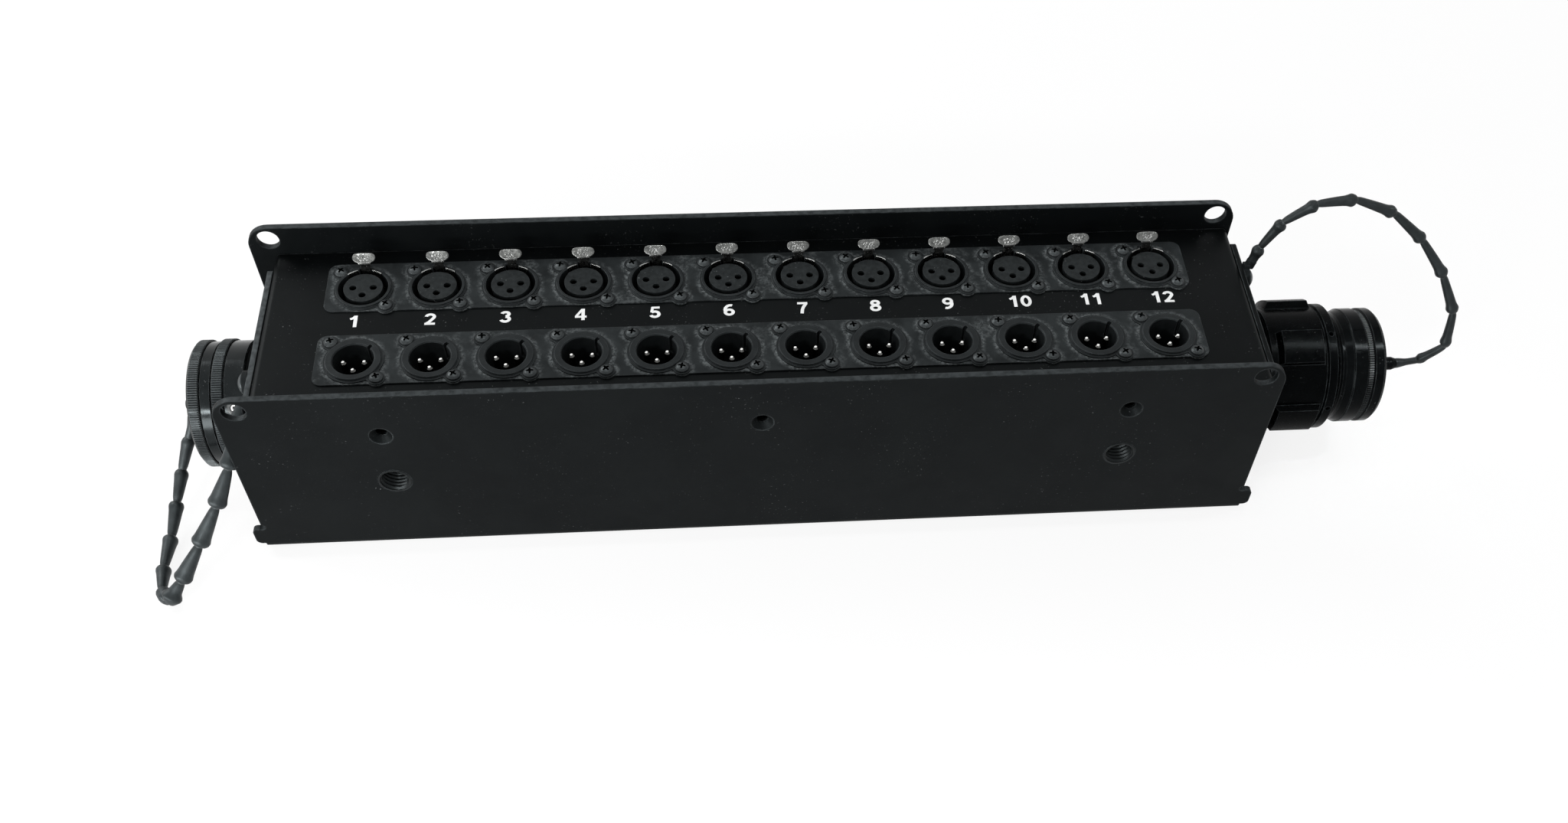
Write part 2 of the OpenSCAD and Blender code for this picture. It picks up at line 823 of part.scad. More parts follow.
// Coupling ring with a plain band, a groove and a knurled band, bored for the cap.
module left_ring() {
    r = left_ring_r;
    a = left_ring_a;
    b = left_ring_b;
    color(dark_metal) at_left() difference() {
        union() {
            taper(r - 0.5, r, a, a + 0.5);
            drum(r, a + 0.5, b - 5.3);
            drum(r - 1.2, b - 6.3, b - 4);
            taper(r, r + 0.5, b - 4.5, b - 4.1);
            drum(r + 0.5, b - 4.1, b - 0.5);
            taper(r + 0.5, r, b - 0.5, b);
        }
        drum(shell_r + run_gap, a - 1, b + 1);
        drum(left_bore_r, left_step, b + 1);
        rotate([0, 0, set_screw_turn]) translate([0, 0, set_screw_z]) rotate([0, 90, 0])
            cylinder(r = set_screw_r, h = 40);
    }
}

module left_set_screw() {
    color(steel) at_left() rotate([0, 0, set_screw_turn]) translate([0, 0, set_screw_z]) rotate([0, 90, 0])
    difference() {
        drum(set_screw_r, shell_r + 2, left_ring_r + 0.3);
        drum(0.6, left_ring_r - 0.9, left_ring_r + 1);
    }
}

module left_clip() {
    color(steel) at_left() tube(clip_r, shell_r, left_step + run_gap, left_step + run_gap + clip_t);
}

// Cap with a plain band, a groove and a knurled rim; its spigot fits the ring's bore.
module left_cap() {
    r = left_cap_r;
    a = left_cap_a;
    b = left_cap_b;
    color(dark_metal) at_left() difference() {
        union() {
            drum(r - 0.5, a, b - 5.4);
            drum(r - 1.8, b - 6, b - 4);
            taper(r - 0.4, r, b - 4.5, b - 4.1);
            drum(r, b - 4.1, b - 0.8);
            taper(r, r - 0.8, b - 0.8, b);
            drum(left_bore_r - 0.4, left_step + 1.8, a + 0.1);
        }
        drum(shell_r + 0.4, left_step, b - 7.7);
        drum(shell_r - 3, left_step, b - 5.7);
        drum(stem_r + stem_gap, a, b + 1);
    }
}

module left_seal() {
    color(deep_black) at_left() tube(shell_r + 0.4, shell_r - 1.8, left_shell_end + 0.25, left_cap_b - 7.7);
}

module left_knob() {
    b = left_cap_b;
    color(deep_black) {
        at_left() {
            pivot(b - 5.8, b);
            drum(2, b + washer_t, b + 3);
            drum(3, b + 2.6, b + 7.4);
            taper(3, 2.2, b + 7.4, b + 8.2);
        }
        cord_root(left_route[0], left_route[1], 4.5);
    }
}

module left_lug() {
    last = len(left_route) - 1;
    color(deep_black) {
        at_left(-lug_y, lug_z) lug(233);
        cord_root(left_route[last], left_route[last - 1], 2.6);
    }
}

module left_lug_screw() {
    color(deep_black) at_left(-lug_y, lug_z) lug_screw();
}

module left_tether() {
    color(deep_black) cord(left_route, tether_d / 2);
}

// Right connector.
module right_shell() {
    color(deep_black) at_right() shell(right_shell_end, right_flange_r, right_ring_a - run_gap);
}

module right_gasket() {
    color(deep_black) at_right() tube(right_flange_r + 0.4, shell_r, 0, gasket_t);
}

module right_nut() {
    color(steel) at_right() jam_nut();
}

module right_insert() {
    color(deep_black) at_right() difference() {
        drum(insert_r, -6, right_shell_end - 4);
        at_multipin() drum(1.2, -7, right_shell_end);
    }
}

module right_sockets() {
    color(gold) at_right() at_multipin() difference() {
        drum(1.2, -10, right_shell_end - 4.6);
        drum(0.85, 12, right_shell_end);
    }
}

// One rib of the coupling ring: a bar along the axis with sloping ends.
module rib(angle) {
    root = right_ring_r - 1.8;
    top = right_ring_r + rib_h;
    rotate([0, 0, angle]) intersection() {
        rotate_extrude()
            polygon([[root, rib_a - 0.5], [top, rib_a + 2.1], [top, rib_b - 1.8], [root, rib_b + 0.2]]);
        translate([root + 0.5, -rib_w / 2, 0]) cube([rib_h + 8, rib_w, right_ring_b]);
    }
}

// Coupling ring with ribs for the hand and a rounded shoulder with small holes.
module right_ring() {
    r = right_ring_r;
    a = right_ring_a;
    b = right_ring_b;
    color(deep_black) at_right() difference() {
        union() {
            taper(r - 0.7, r, a, a + 0.7);
            drum(r, a + 0.7, b - 5.8);
            taper(r - 0.1, r + 1, b - 6.2, b - 5.4);
            drum(r + 1, b - 5.4, b - 1.8);
            taper(r + 1, r - 0.9, b - 1.8, b);
            for (i = [1 : rib_count]) {
                rib(rib_turn + i * 360 / rib_count);
            }
        }
        drum(shell_r + run_gap, a - 1, b + 1);
        drum(right_bore_r, right_step, b + 1);
        for (i = [1 : rib_count]) {
            rotate([0, 0, rib_turn + 60 + i * 360 / rib_count])
                translate([r - 1.7, 0, b - 3.6]) rotate([0, 90, 0]) cylinder(r = 1.1, h = 5);
        }
    }
}

module right_clip() {
    color(steel) at_right() tube(clip_r, shell_r, right_step + run_gap, right_step + run_gap + clip_t);
}

// Long cap: a narrow neck, a flared band, a groove and a rounded rim.
module right_cap() {
    r = right_cap_r;
    a = right_cap_a;
    b = right_cap_b;
    color(deep_black) at_right() difference() {
        union() {
            drum(right_bore_r - 0.4, right_spigot, a + 1);
            taper(r - 0.3, r - 1.5, a, a + 1.8);
            drum(r - 1.5, a + 1, a + 4);
            taper(r - 1.5, r - 0.4, a + 3.2, a + 6.2);
            taper(r - 0.5, r, a + 6.1, a + 6.7);
            drum(r, a + 6.7, b - 8.2);
            taper(r, r - 0.9, b - 8.2, b - 7.4);
            drum(r - 1.2, b - 7.7, b - 4.7);
            taper(r - 0.9, r, b - 5.6, b - 4.9);
            drum(r, b - 4.9, b - 1.3);
            taper(r, r - 1.1, b - 1.3, b);
        }
        drum(shell_r + 0.4, right_spigot - 1, a + 2.5);
        drum(shell_r - 3, a, b - 7.3);
        drum(stem_r + stem_gap, a, b + 1);
    }
}

module right_seal() {
    color(deep_black) at_right()
        tube(shell_r + 0.4, shell_r - 1.8, right_shell_end + 0.25, right_cap_a + 2.5);
}

module right_knob() {
    b = right_cap_b;
    color(deep_black) {
        at_right() {
            pivot(b - 7.4, b);
            drum(2, b + washer_t, b + 9);
            drum(2.9, b + 8.4, b + 12);
            taper(2.9, 2.2, b + 12, b + 14);
        }
        cord_root(right_route[0], right_route[1], 2);
    }
}

module right_lug() {
    last = len(right_route) - 1;
    color(deep_black) {
        at_right(lug_y, lug_z) lug(164);
        cord_root(right_route[last], right_route[last - 1], 3);
    }
}

module right_lug_screw() {
    color(deep_black) at_right(lug_y, lug_z) lug_screw();
}

module right_tether() {
    color(deep_black) cord(right_route, tether_d / 2);
}

// Cable loom: a trunk under each row, a tail up to each socket, and both ends
// brought together behind the multipin connectors.
module wiring_loom() {
    back = 8;
    color(dark_metal) {
        for (y = [rear_y, front_y]) {
            rod([ch_x(1), y, loom_z], [ch_x(channels), y, loom_z], loom_r);
            for (x = [ch_x(1), ch_x(channels)]) {
                translate([x, y, loom_z]) sphere(r = loom_r + 0.7);
            }
            rod([ch_x(1), y, loom_z], [left_x + shell_in + back - 2, y / 3, axis_z], loom_r - 0.4);
            rod([ch_x(channels), y, loom_z], [right_x - 10 - back + 2, y / 3, axis_z], loom_r - 0.4);
            deep = y == rear_y ? female_deep + tail_in : male_deep + tail_in + 1;
            at_row(y, loom_z) cylinder(r = tail_r, h = fl_z - deep - 0.5 - loom_z);
            at_row(y, fl_z - deep - 1.5) cylinder(r = contact_ring_r + 1.55, h = 1.5);
        }
        translate([left_x + shell_in, 0, axis_z]) rotate([0, 90, 0]) cylinder(r = insert_r - 2.6, h = back);
        translate([right_x - 10 - back, 0, axis_z]) rotate([0, 90, 0]) cylinder(r = insert_r - 2.6, h = back);
    }
}

// Ground stud on the bottom sheet, with its nut.
module ground_stud() {
    color(steel) translate([panel_shift, 0, plate_t]) {
        drum(2, 0, 14);
        difference() {
            cylinder(r = 4, h = 3.2, $fn = 6);
            drum(2, -1, 5);
        }
    }
}

side_channel();
connector_panel();
left_end_plate();
right_end_plate();
end_plate_screws();
threaded_inserts();
rear_pad();
front_pad();
female_shells();
female_inserts();
female_contacts();
rim_springs();
male_shells();
male_inserts();
male_pins();
socket_screws();
latch(1);  // latch_01
latch(2);  // latch_02
latch(3);  // latch_03
latch(4);  // latch_04
latch(5);  // latch_05
latch(6);  // latch_06
latch(7);  // latch_07
latch(8);  // latch_08
latch(9);  // latch_09
latch(10);  // latch_10
latch(11);  // latch_11
latch(12);  // latch_12
left_shell();
left_gasket();
left_nut();
left_insert();
left_pins();
left_ring();
left_clip();
left_set_screw();
left_cap();
left_seal();
left_knob();
left_lug();
left_lug_screw();
left_tether();
right_shell();
right_gasket();
right_nut();
right_insert();
right_sockets();
right_ring();
right_clip();
right_cap();
right_seal();
right_knob();
right_lug();
right_lug_screw();
right_tether();
wiring_loom();
ground_stud();
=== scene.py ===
import json
import math

import bmesh
import bpy
from mathutils import Matrix, Vector
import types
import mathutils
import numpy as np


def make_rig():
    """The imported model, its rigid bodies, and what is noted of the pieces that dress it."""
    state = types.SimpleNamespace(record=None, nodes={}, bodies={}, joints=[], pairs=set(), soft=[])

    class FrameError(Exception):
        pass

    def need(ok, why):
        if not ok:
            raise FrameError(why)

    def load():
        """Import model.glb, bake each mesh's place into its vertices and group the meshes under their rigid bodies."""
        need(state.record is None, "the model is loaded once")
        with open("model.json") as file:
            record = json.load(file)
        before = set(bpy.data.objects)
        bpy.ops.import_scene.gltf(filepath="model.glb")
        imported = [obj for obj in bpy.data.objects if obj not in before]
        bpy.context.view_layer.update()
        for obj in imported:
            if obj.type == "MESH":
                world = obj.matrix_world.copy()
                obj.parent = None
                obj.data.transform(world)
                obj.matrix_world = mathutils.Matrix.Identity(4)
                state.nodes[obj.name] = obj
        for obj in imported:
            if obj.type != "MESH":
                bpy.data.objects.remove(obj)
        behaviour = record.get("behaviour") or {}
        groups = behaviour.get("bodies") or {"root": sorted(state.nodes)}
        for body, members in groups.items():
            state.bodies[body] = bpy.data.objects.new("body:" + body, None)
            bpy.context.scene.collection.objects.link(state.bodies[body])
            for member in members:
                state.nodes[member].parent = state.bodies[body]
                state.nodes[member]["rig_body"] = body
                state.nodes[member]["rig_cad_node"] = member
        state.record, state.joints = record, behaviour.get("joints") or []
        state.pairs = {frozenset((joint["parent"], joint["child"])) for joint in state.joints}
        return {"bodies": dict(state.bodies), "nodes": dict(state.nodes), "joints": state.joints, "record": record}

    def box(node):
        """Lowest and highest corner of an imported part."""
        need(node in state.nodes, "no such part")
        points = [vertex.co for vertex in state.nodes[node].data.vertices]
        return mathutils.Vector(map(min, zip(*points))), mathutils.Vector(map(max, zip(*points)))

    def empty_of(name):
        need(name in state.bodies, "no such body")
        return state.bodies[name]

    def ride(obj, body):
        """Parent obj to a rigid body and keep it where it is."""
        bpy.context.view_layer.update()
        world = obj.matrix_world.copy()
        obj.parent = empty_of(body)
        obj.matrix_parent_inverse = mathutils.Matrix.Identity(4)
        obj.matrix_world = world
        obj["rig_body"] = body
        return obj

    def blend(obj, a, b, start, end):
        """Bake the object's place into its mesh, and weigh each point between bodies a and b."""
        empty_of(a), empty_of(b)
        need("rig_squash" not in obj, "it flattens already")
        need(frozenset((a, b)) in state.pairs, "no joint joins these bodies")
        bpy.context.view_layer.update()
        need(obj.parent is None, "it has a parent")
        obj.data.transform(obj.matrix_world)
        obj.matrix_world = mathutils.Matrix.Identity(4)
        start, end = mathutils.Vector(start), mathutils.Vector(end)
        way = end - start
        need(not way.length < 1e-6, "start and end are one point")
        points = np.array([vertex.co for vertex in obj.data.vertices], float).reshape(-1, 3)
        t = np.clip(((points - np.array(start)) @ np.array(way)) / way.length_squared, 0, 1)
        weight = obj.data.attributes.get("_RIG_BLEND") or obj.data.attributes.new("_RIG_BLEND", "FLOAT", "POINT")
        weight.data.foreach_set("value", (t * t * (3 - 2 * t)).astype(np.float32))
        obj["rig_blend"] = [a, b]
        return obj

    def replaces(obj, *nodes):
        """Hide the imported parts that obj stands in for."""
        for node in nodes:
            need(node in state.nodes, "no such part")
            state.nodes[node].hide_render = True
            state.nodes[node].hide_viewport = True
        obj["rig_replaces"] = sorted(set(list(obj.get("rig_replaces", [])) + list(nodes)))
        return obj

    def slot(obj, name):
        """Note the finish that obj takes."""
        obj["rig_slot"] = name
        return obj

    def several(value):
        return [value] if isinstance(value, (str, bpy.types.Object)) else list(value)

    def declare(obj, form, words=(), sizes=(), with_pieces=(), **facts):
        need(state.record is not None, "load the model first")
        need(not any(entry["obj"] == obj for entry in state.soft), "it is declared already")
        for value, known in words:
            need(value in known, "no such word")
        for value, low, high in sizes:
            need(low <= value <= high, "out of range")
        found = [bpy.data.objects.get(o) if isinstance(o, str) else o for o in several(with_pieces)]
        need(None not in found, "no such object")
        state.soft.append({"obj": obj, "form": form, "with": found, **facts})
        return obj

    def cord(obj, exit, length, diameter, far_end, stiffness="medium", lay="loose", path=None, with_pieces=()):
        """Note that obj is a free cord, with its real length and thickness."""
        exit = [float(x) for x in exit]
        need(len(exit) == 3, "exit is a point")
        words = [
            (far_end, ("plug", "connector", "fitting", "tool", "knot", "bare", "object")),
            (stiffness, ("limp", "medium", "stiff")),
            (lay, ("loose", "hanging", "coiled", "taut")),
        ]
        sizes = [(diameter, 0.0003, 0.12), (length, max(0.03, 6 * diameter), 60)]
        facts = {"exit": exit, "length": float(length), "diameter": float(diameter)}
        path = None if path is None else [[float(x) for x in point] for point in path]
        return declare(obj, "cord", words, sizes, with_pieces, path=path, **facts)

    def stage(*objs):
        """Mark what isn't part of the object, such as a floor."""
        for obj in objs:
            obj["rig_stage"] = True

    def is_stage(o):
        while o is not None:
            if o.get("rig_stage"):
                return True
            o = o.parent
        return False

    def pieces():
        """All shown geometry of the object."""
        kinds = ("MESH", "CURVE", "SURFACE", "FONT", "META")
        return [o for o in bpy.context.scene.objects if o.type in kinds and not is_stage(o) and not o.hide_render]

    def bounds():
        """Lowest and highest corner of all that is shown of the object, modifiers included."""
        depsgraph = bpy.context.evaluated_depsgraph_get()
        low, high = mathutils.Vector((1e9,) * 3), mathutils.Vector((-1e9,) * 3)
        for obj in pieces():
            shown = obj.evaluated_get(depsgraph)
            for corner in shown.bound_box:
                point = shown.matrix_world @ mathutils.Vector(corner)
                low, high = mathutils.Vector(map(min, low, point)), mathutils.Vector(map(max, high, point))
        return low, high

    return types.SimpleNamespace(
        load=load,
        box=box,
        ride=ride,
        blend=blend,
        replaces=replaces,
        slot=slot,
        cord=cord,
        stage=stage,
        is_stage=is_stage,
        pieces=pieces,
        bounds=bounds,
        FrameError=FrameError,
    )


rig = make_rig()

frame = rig.load()
cad_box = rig.bounds()

# Sizes are in mm, as in the CAD source, unless a line says otherwise.
MM = 0.001
CHANNELS = 12
PITCH = 30.0
PANEL_SHIFT = 4.0
PANEL_TOP = 79.0
FLANGE_FACE = 79.6
REAR_ROW = 22.75
FRONT_ROW = -17.25
SCREW_OFFSET = 9.9
CONTACT_RING = 4.15
CONTACT_ANGLES = (180, 0, 270)
AXIS_Z = 38.7
LEFT_X = -202.2
RIGHT_X = 210.2
PLATE_FACE = 49.0
INSERT_X = 149.35
INSERT_Z = 42.4


def channel_x(k):
    """Middle of channel k along the box."""
    return PANEL_SHIFT + (k - (CHANNELS + 1) / 2) * PITCH


# Camera, at the photograph's angle.
camera_data = bpy.data.cameras.new("photo_camera")
camera_data.sensor_width = 36.0
camera_data.lens = 35.40
camera_data.shift_x = -0.0371
camera_data.shift_y = 0.0999
camera_data.clip_start = 0.01
camera_data.clip_end = 30.0
camera = bpy.data.objects.new("photo_camera", camera_data)
bpy.context.scene.collection.objects.link(camera)
look = Vector((0.0714, 0.5766, -0.8139)).normalized()
side = Vector((0.9965, -0.0760, 0.0335))
side = (side - look * side.dot(look)).normalized()
up = side.cross(look)
camera.matrix_world = Matrix((
    (side.x, up.x, -look.x, -0.0147),
    (side.y, up.y, -look.y, -0.45215),
    (side.z, up.z, -look.z, 0.5371),
    (0, 0, 0, 1),
))
bpy.context.scene.camera = camera
bpy.context.scene.view_settings.view_transform = "Standard"


class Surface:
    """One procedural material. Its patterns are placed by object coordinates, in metres."""

    PAINT_TINT = (0.86, 0.97, 1.0, 1.0)
    METAL_TINT = (1.0, 1.0, 1.0, 1.0)

    def __init__(self, name):
        self.material = bpy.data.materials.new(name)
        self.material.use_nodes = True
        self.tree = self.material.node_tree
        self.tree.nodes.clear()
        self.shader = self.node("ShaderNodeBsdfPrincipled")
        self.output = self.node("ShaderNodeOutputMaterial")
        self.link(self.shader.outputs[0], self.output.inputs[0])
        self.where = self.node("ShaderNodeTexCoord").outputs["Object"]

    def node(self, kind, **settings):
        made = self.tree.nodes.new(kind)
        for key, value in settings.items():
            setattr(made, key, value)
        return made

    def link(self, out, into):
        self.tree.links.new(out, into)

    def feed(self, socket, value):
        if isinstance(value, bpy.types.NodeSocket):
            self.link(value, socket)
        else:
            socket.default_value = value

    def maths(self, operation, a, b=0.0, c=0.0):
        made = self.node("ShaderNodeMath", operation=operation)
        for socket, value in zip(made.inputs, (a, b, c)):
            self.feed(socket, value)
        return made.outputs[0]

    def times(self, a, b):
        return self.maths("MULTIPLY", a, b)

    def plus(self, a, b):
        return self.maths("ADD", a, b)

    def minus(self, a, b):
        return self.maths("SUBTRACT", a, b)

    def length(self, a, b):
        return self.maths("SQRT", self.plus(self.times(a, a), self.times(b, b)))

    def span(self, value, low, high, to_low=0.0, to_high=1.0, smooth=False):
        made = self.node("ShaderNodeMapRange", interpolation_type="SMOOTHSTEP" if smooth else "LINEAR")
        for socket, number in zip(made.inputs, (value, low, high, to_low, to_high)):
            self.feed(socket, number)
        return made.outputs[0]

    def mix(self, factor, a, b):
        made = self.node("ShaderNodeMix", data_type="RGBA")
        for index, value in ((0, factor), (6, a), (7, b)):
            if isinstance(value, tuple):
                value = (*value, 1.0)
            self.feed(made.inputs[index], value)
        return made.outputs[2]

    def split(self, vector):
        """The x, y and z of a vector."""
        made = self.node("ShaderNodeSeparateXYZ")
        self.link(vector, made.inputs[0])
        return made.outputs[0], made.outputs[1], made.outputs[2]

    def facing(self):
        """The way that the surface faces."""
        return self.node("ShaderNodeNewGeometry").outputs["Normal"]

    def noise(self, size, detail=3.0, roughness=0.55, distortion=0.0):
        made = self.node("ShaderNodeTexNoise")
        self.link(self.where, made.inputs["Vector"])
        made.inputs["Scale"].default_value = 1.0 / size
        made.inputs["Detail"].default_value = detail
        made.inputs["Roughness"].default_value = roughness
        made.inputs["Distortion"].default_value = distortion
        return made.outputs[0]

    def cells(self, size):
        made = self.node("ShaderNodeTexVoronoi")
        self.link(self.where, made.inputs["Vector"])
        made.inputs["Scale"].default_value = 1.0 / size
        return made.outputs["Distance"]

    def round_axis(self):
        """Places by the connectors' axis, in metres: x, y, the height over it and the distance from it."""
        x, y, z = self.split(self.where)
        over = self.minus(z, AXIS_Z * MM)
        return x, y, over, self.length(y, over)

    def tool_marks(self, step):
        """Fine rings round the connectors' axis, uneven in depth."""
        x, _, _, away = self.round_axis()
        made = self.node("ShaderNodeTexNoise", noise_dimensions="1D")
        self.link(self.plus(away, self.times(x, 0.7)), made.inputs["W"])
        made.inputs["Scale"].default_value = 1.0 / step
        made.inputs["Detail"].default_value = 2.0
        return made.outputs[0]

    def rounded(self, radius):
        made = self.node("ShaderNodeBevel", samples=4)
        made.inputs["Radius"].default_value = radius
        return made.outputs[0]

    def edge_wear(self, rounded, patch=0.004, strength=1.0):
        """Patchy wear with a painted highlight where the rounded normal leaves the flat one."""
        dot = self.node("ShaderNodeVectorMath", operation="DOT_PRODUCT")
        self.link(rounded, dot.inputs[0])
        self.link(self.facing(), dot.inputs[1])
        bend = self.span(dot.outputs["Value"], 0.998, 0.90)
        worn_and_lit = self.span(self.noise(patch, 4.0), 0.38, 0.62, 0.25, 1.0)
        return self.times(self.times(bend, worn_and_lit), strength)

    def bump(self, height, strength, depth, normal):
        made = self.node("ShaderNodeBump")
        made.inputs["Strength"].default_value = strength
        made.inputs["Distance"].default_value = depth
        self.link(height, made.inputs["Height"])
        self.link(normal, made.inputs["Normal"])
        return made.outputs[0]

    def finish(self, colour, rough, normal, metal, shine):
        self.feed(self.shader.inputs["Base Color"], colour)
        self.feed(self.shader.inputs["Roughness"], rough)
        if normal is not None:
            self.link(normal, self.shader.inputs["Normal"])
        self.shader.inputs["Metallic"].default_value = metal
        self.shader.inputs["Specular IOR Level"].default_value = shine
        tint = self.PAINT_TINT if metal < 0.5 else self.METAL_TINT
        self.shader.inputs["Specular Tint"].default_value = tint
        return self.material


def coated(name, dark, light, rough, shine, patch=0.035, grain=0.0007, grain_depth=0.00003, edge=None,
           edge_radius=0.0004, dust=0.0, metal=0.0, turned=0.0, top=None):
    """A finish with uneven tone and fine grain.

    It can have edges with wear and a painted highlight (edge is their colour), a painted highlight on
    upper faces (top is its colour), dust, and the tool marks of a turned part (turned is their step in metres).
    """
    s = Surface(name)
    colour = s.mix(s.span(s.noise(patch, 4.0, 0.6, 0.3), 0.32, 0.68), dark, light)
    if dust:
        specks = s.span(s.noise(0.0009, 1.0), 0.70, 0.78)
        where = s.span(s.noise(0.02, 3.0), 0.45, 0.7)
        colour = s.mix(s.times(s.times(specks, where), dust), colour, (0.18, 0.19, 0.19))
    normal = s.rounded(edge_radius)
    # Edges: wear and a painted highlight in the edge colour.
    if edge:
        colour = s.mix(s.edge_wear(normal), colour, edge)
    # Painted highlight on upward faces, in patches.
    if top:
        upper_highlight = s.span(s.noise(0.003, 4.0), 0.35, 0.6, 0.4, 1.0)
        colour = s.mix(s.times(s.span(s.split(s.facing())[2], 0.7, 0.95), upper_highlight), colour, top)
    normal = s.bump(s.noise(grain, 2.0, 0.6), 0.35, grain_depth, normal)
    if turned:
        normal = s.bump(s.tool_marks(turned), 0.4, 0.00002, normal)
    roughness = s.span(s.noise(patch * 0.6, 5.0, 0.65, 0.8), 0.3, 0.7, *rough)
    return s.finish(colour, roughness, normal, metal, shine)


def along_row(s, x):
    """How far x is from the middle of the nearest channel, in pitches from -0.5 to 0.5."""
    turn = s.maths("DIVIDE", s.minus(x, channel_x(1)), PITCH)
    return s.minus(s.maths("FRACT", s.plus(turn, 0.5)), 0.5)


def socket_distance(s):
    """Gives a function for the distance from a circle that lies alike at every socket."""
    x, y, _ = s.split(s.where)
    x, y = s.times(x, 1 / MM), s.times(y, 1 / MM)
    local_x = s.times(along_row(s, x), PITCH)
    rear = s.maths("GREATER_THAN", y, (REAR_ROW + FRONT_ROW) / 2)
    local_y = s.minus(y, s.maths("MULTIPLY_ADD", rear, REAR_ROW - FRONT_ROW, FRONT_ROW))

    def away(cx, cy, r):
        return s.minus(s.length(s.minus(local_x, cx), s.minus(local_y, cy)), r)

    return away


def pad_surface():
    """Sheet under a row of sockets, with a paler grainy rim round every flange."""
    s = Surface("pad_sheet")
    away = socket_distance(s)
    gap = away(0, 0, 12.2)
    near, far = SCREW_OFFSET, PITCH - SCREW_OFFSET
    for cx, cy in ((-near, near), (near, -near), (far, near), (-far, -near)):
        gap = s.maths("SMOOTH_MIN", gap, away(cx, cy, 3.6), 2.2)
    gap = s.plus(gap, s.maths("MULTIPLY_ADD", s.noise(0.0035, 4.0, 0.7), 4.4, -2.2))
    halo = s.times(s.span(gap, -0.5, 2.4, 1.0, 0.0, True), s.span(s.noise(0.007, 3.0), 0.32, 0.62, 0.2, 1.0))
    smudge = s.span(s.noise(0.017, 3.0, 0.6), 0.54, 0.66, 0.0, 0.30, True)
    speck = s.span(s.noise(0.0012, 3.0, 0.75), 0.42, 0.60, 0.12, 1.0)
    dusty = s.times(s.maths("MAXIMUM", s.times(halo, 0.9), smudge), speck)
    tone = s.span(s.noise(0.011, 4.0, 0.6, 0.5), 0.36, 0.64)
    colour = s.mix(tone, (0.0072, 0.0084, 0.0089), (0.0165, 0.0191, 0.0200))
    colour = s.mix(dusty, colour, (0.165, 0.181, 0.185))
    normal = s.rounded(0.0003)
    # The pad's border gets wear and a painted highlight.
    colour = s.mix(s.edge_wear(normal, 0.003, 0.8), colour, (0.06, 0.064, 0.065))
    normal = s.bump(s.noise(0.0006, 2.0), 0.4, 0.00006, normal)
    return s.finish(colour, s.span(s.noise(0.01, 4.0), 0.3, 0.7, 0.5, 0.68), normal, 0.0, 0.12)


def latch_surface():
    """Bright plated steel with painted glints on small dents, most of all in the middle of a tab."""
    s = Surface("latch_nickel")
    tone = s.span(s.noise(0.0013, 4.0, 0.65), 0.36, 0.64)
    colour = s.mix(tone, (0.075, 0.078, 0.076), (0.155, 0.159, 0.153))
    off = s.maths("ABSOLUTE", along_row(s, s.times(s.split(s.where)[0], 1 / MM)))
    # Painted glints: bright dots on small dents, thinning out towards the ends of a tab.
    painted_glints = s.times(s.span(s.cells(0.00085), 0.14, 0.30, 1.0, 0.0), s.span(s.noise(0.0024, 2.0), 0.40, 0.54))
    painted_glints = s.times(painted_glints, s.span(off, 0.05, 0.13, 1.0, 0.2))
    colour = s.mix(s.times(painted_glints, 0.9), colour, (0.92, 0.93, 0.92))
    normal = s.rounded(0.00022)
    # Edges get wear and a painted highlight.
    colour = s.mix(s.edge_wear(normal, 0.002, 0.8), colour, (0.62, 0.63, 0.62))
    normal = s.bump(s.noise(0.0006, 2.0), 0.5, 0.00009, normal)
    return s.finish(colour, s.span(s.noise(0.0015, 3.0), 0.3, 0.7, 0.24, 0.44), normal, 1.0, 0.5)


def pin_surface():
    """Silver pins: a painted highlight on the tip, and painted shade down the sides."""
    s = Surface("silver_pin")
    away = socket_distance(s)
    # Painted highlight: a bright spot a little off the middle of each pin's tip, where it faces up.
    highlight_x, highlight_y = -0.12, 0.10
    near = []
    for angle in CONTACT_ANGLES:
        a = math.radians(angle)
        near.append(away(CONTACT_RING * math.cos(a) + highlight_x, CONTACT_RING * math.sin(a) + highlight_y, 0.0))
    nearest = s.maths("MINIMUM", s.maths("MINIMUM", near[0], near[1]), near[2])
    tip = s.times(s.span(s.split(s.facing())[2], 0.3, 0.62), s.span(nearest, 0.38, 0.72, 1.0, 0.0, True))
    tone = s.span(s.noise(0.0009, 3.0), 0.35, 0.65)
    # The sides are painted shade, darker than silver.
    colour = s.mix(tip, s.mix(tone, (0.05, 0.05, 0.048), (0.13, 0.13, 0.125)), (0.95, 0.95, 0.93))
    return s.finish(colour, s.span(tone, 0.0, 1.0, 0.06, 0.14), s.rounded(0.00015), 1.0, 0.5)


def knurl_surface(name, low, high, worn_and_lit, shine, highlight_side=None):
    """Knurled metal: painted shade in the valleys at radius low, wear and a painted highlight at high. The side given
    by (y, z) holds most of the painted highlight.
    """
    s = Surface(name)
    _, y, over, away = s.round_axis()
    tooth = s.span(away, low * MM, high * MM)
    patch = s.span(s.noise(0.011, 3.0), 0.34, 0.62, 0.40, 1.0)
    if highlight_side:
        reach = s.plus(s.times(y, highlight_side[0]), s.times(over, highlight_side[1]))
        patch = s.times(patch, s.span(s.maths("DIVIDE", reach, away), 0.62, 0.94, 0.06, 1.0, True))
    # Painted shade in the valleys between teeth, and a painted highlight with wear on their tops.
    colour = s.mix(s.times(tooth, patch), (0.0012, 0.0015, 0.0016), worn_and_lit)
    normal = s.bump(s.noise(0.0005, 2.0), 0.3, 0.00003, s.rounded(0.00012))
    return s.finish(colour, s.span(s.noise(0.004, 3.0), 0.3, 0.7, 0.22, 0.36), normal, 0.0, shine)
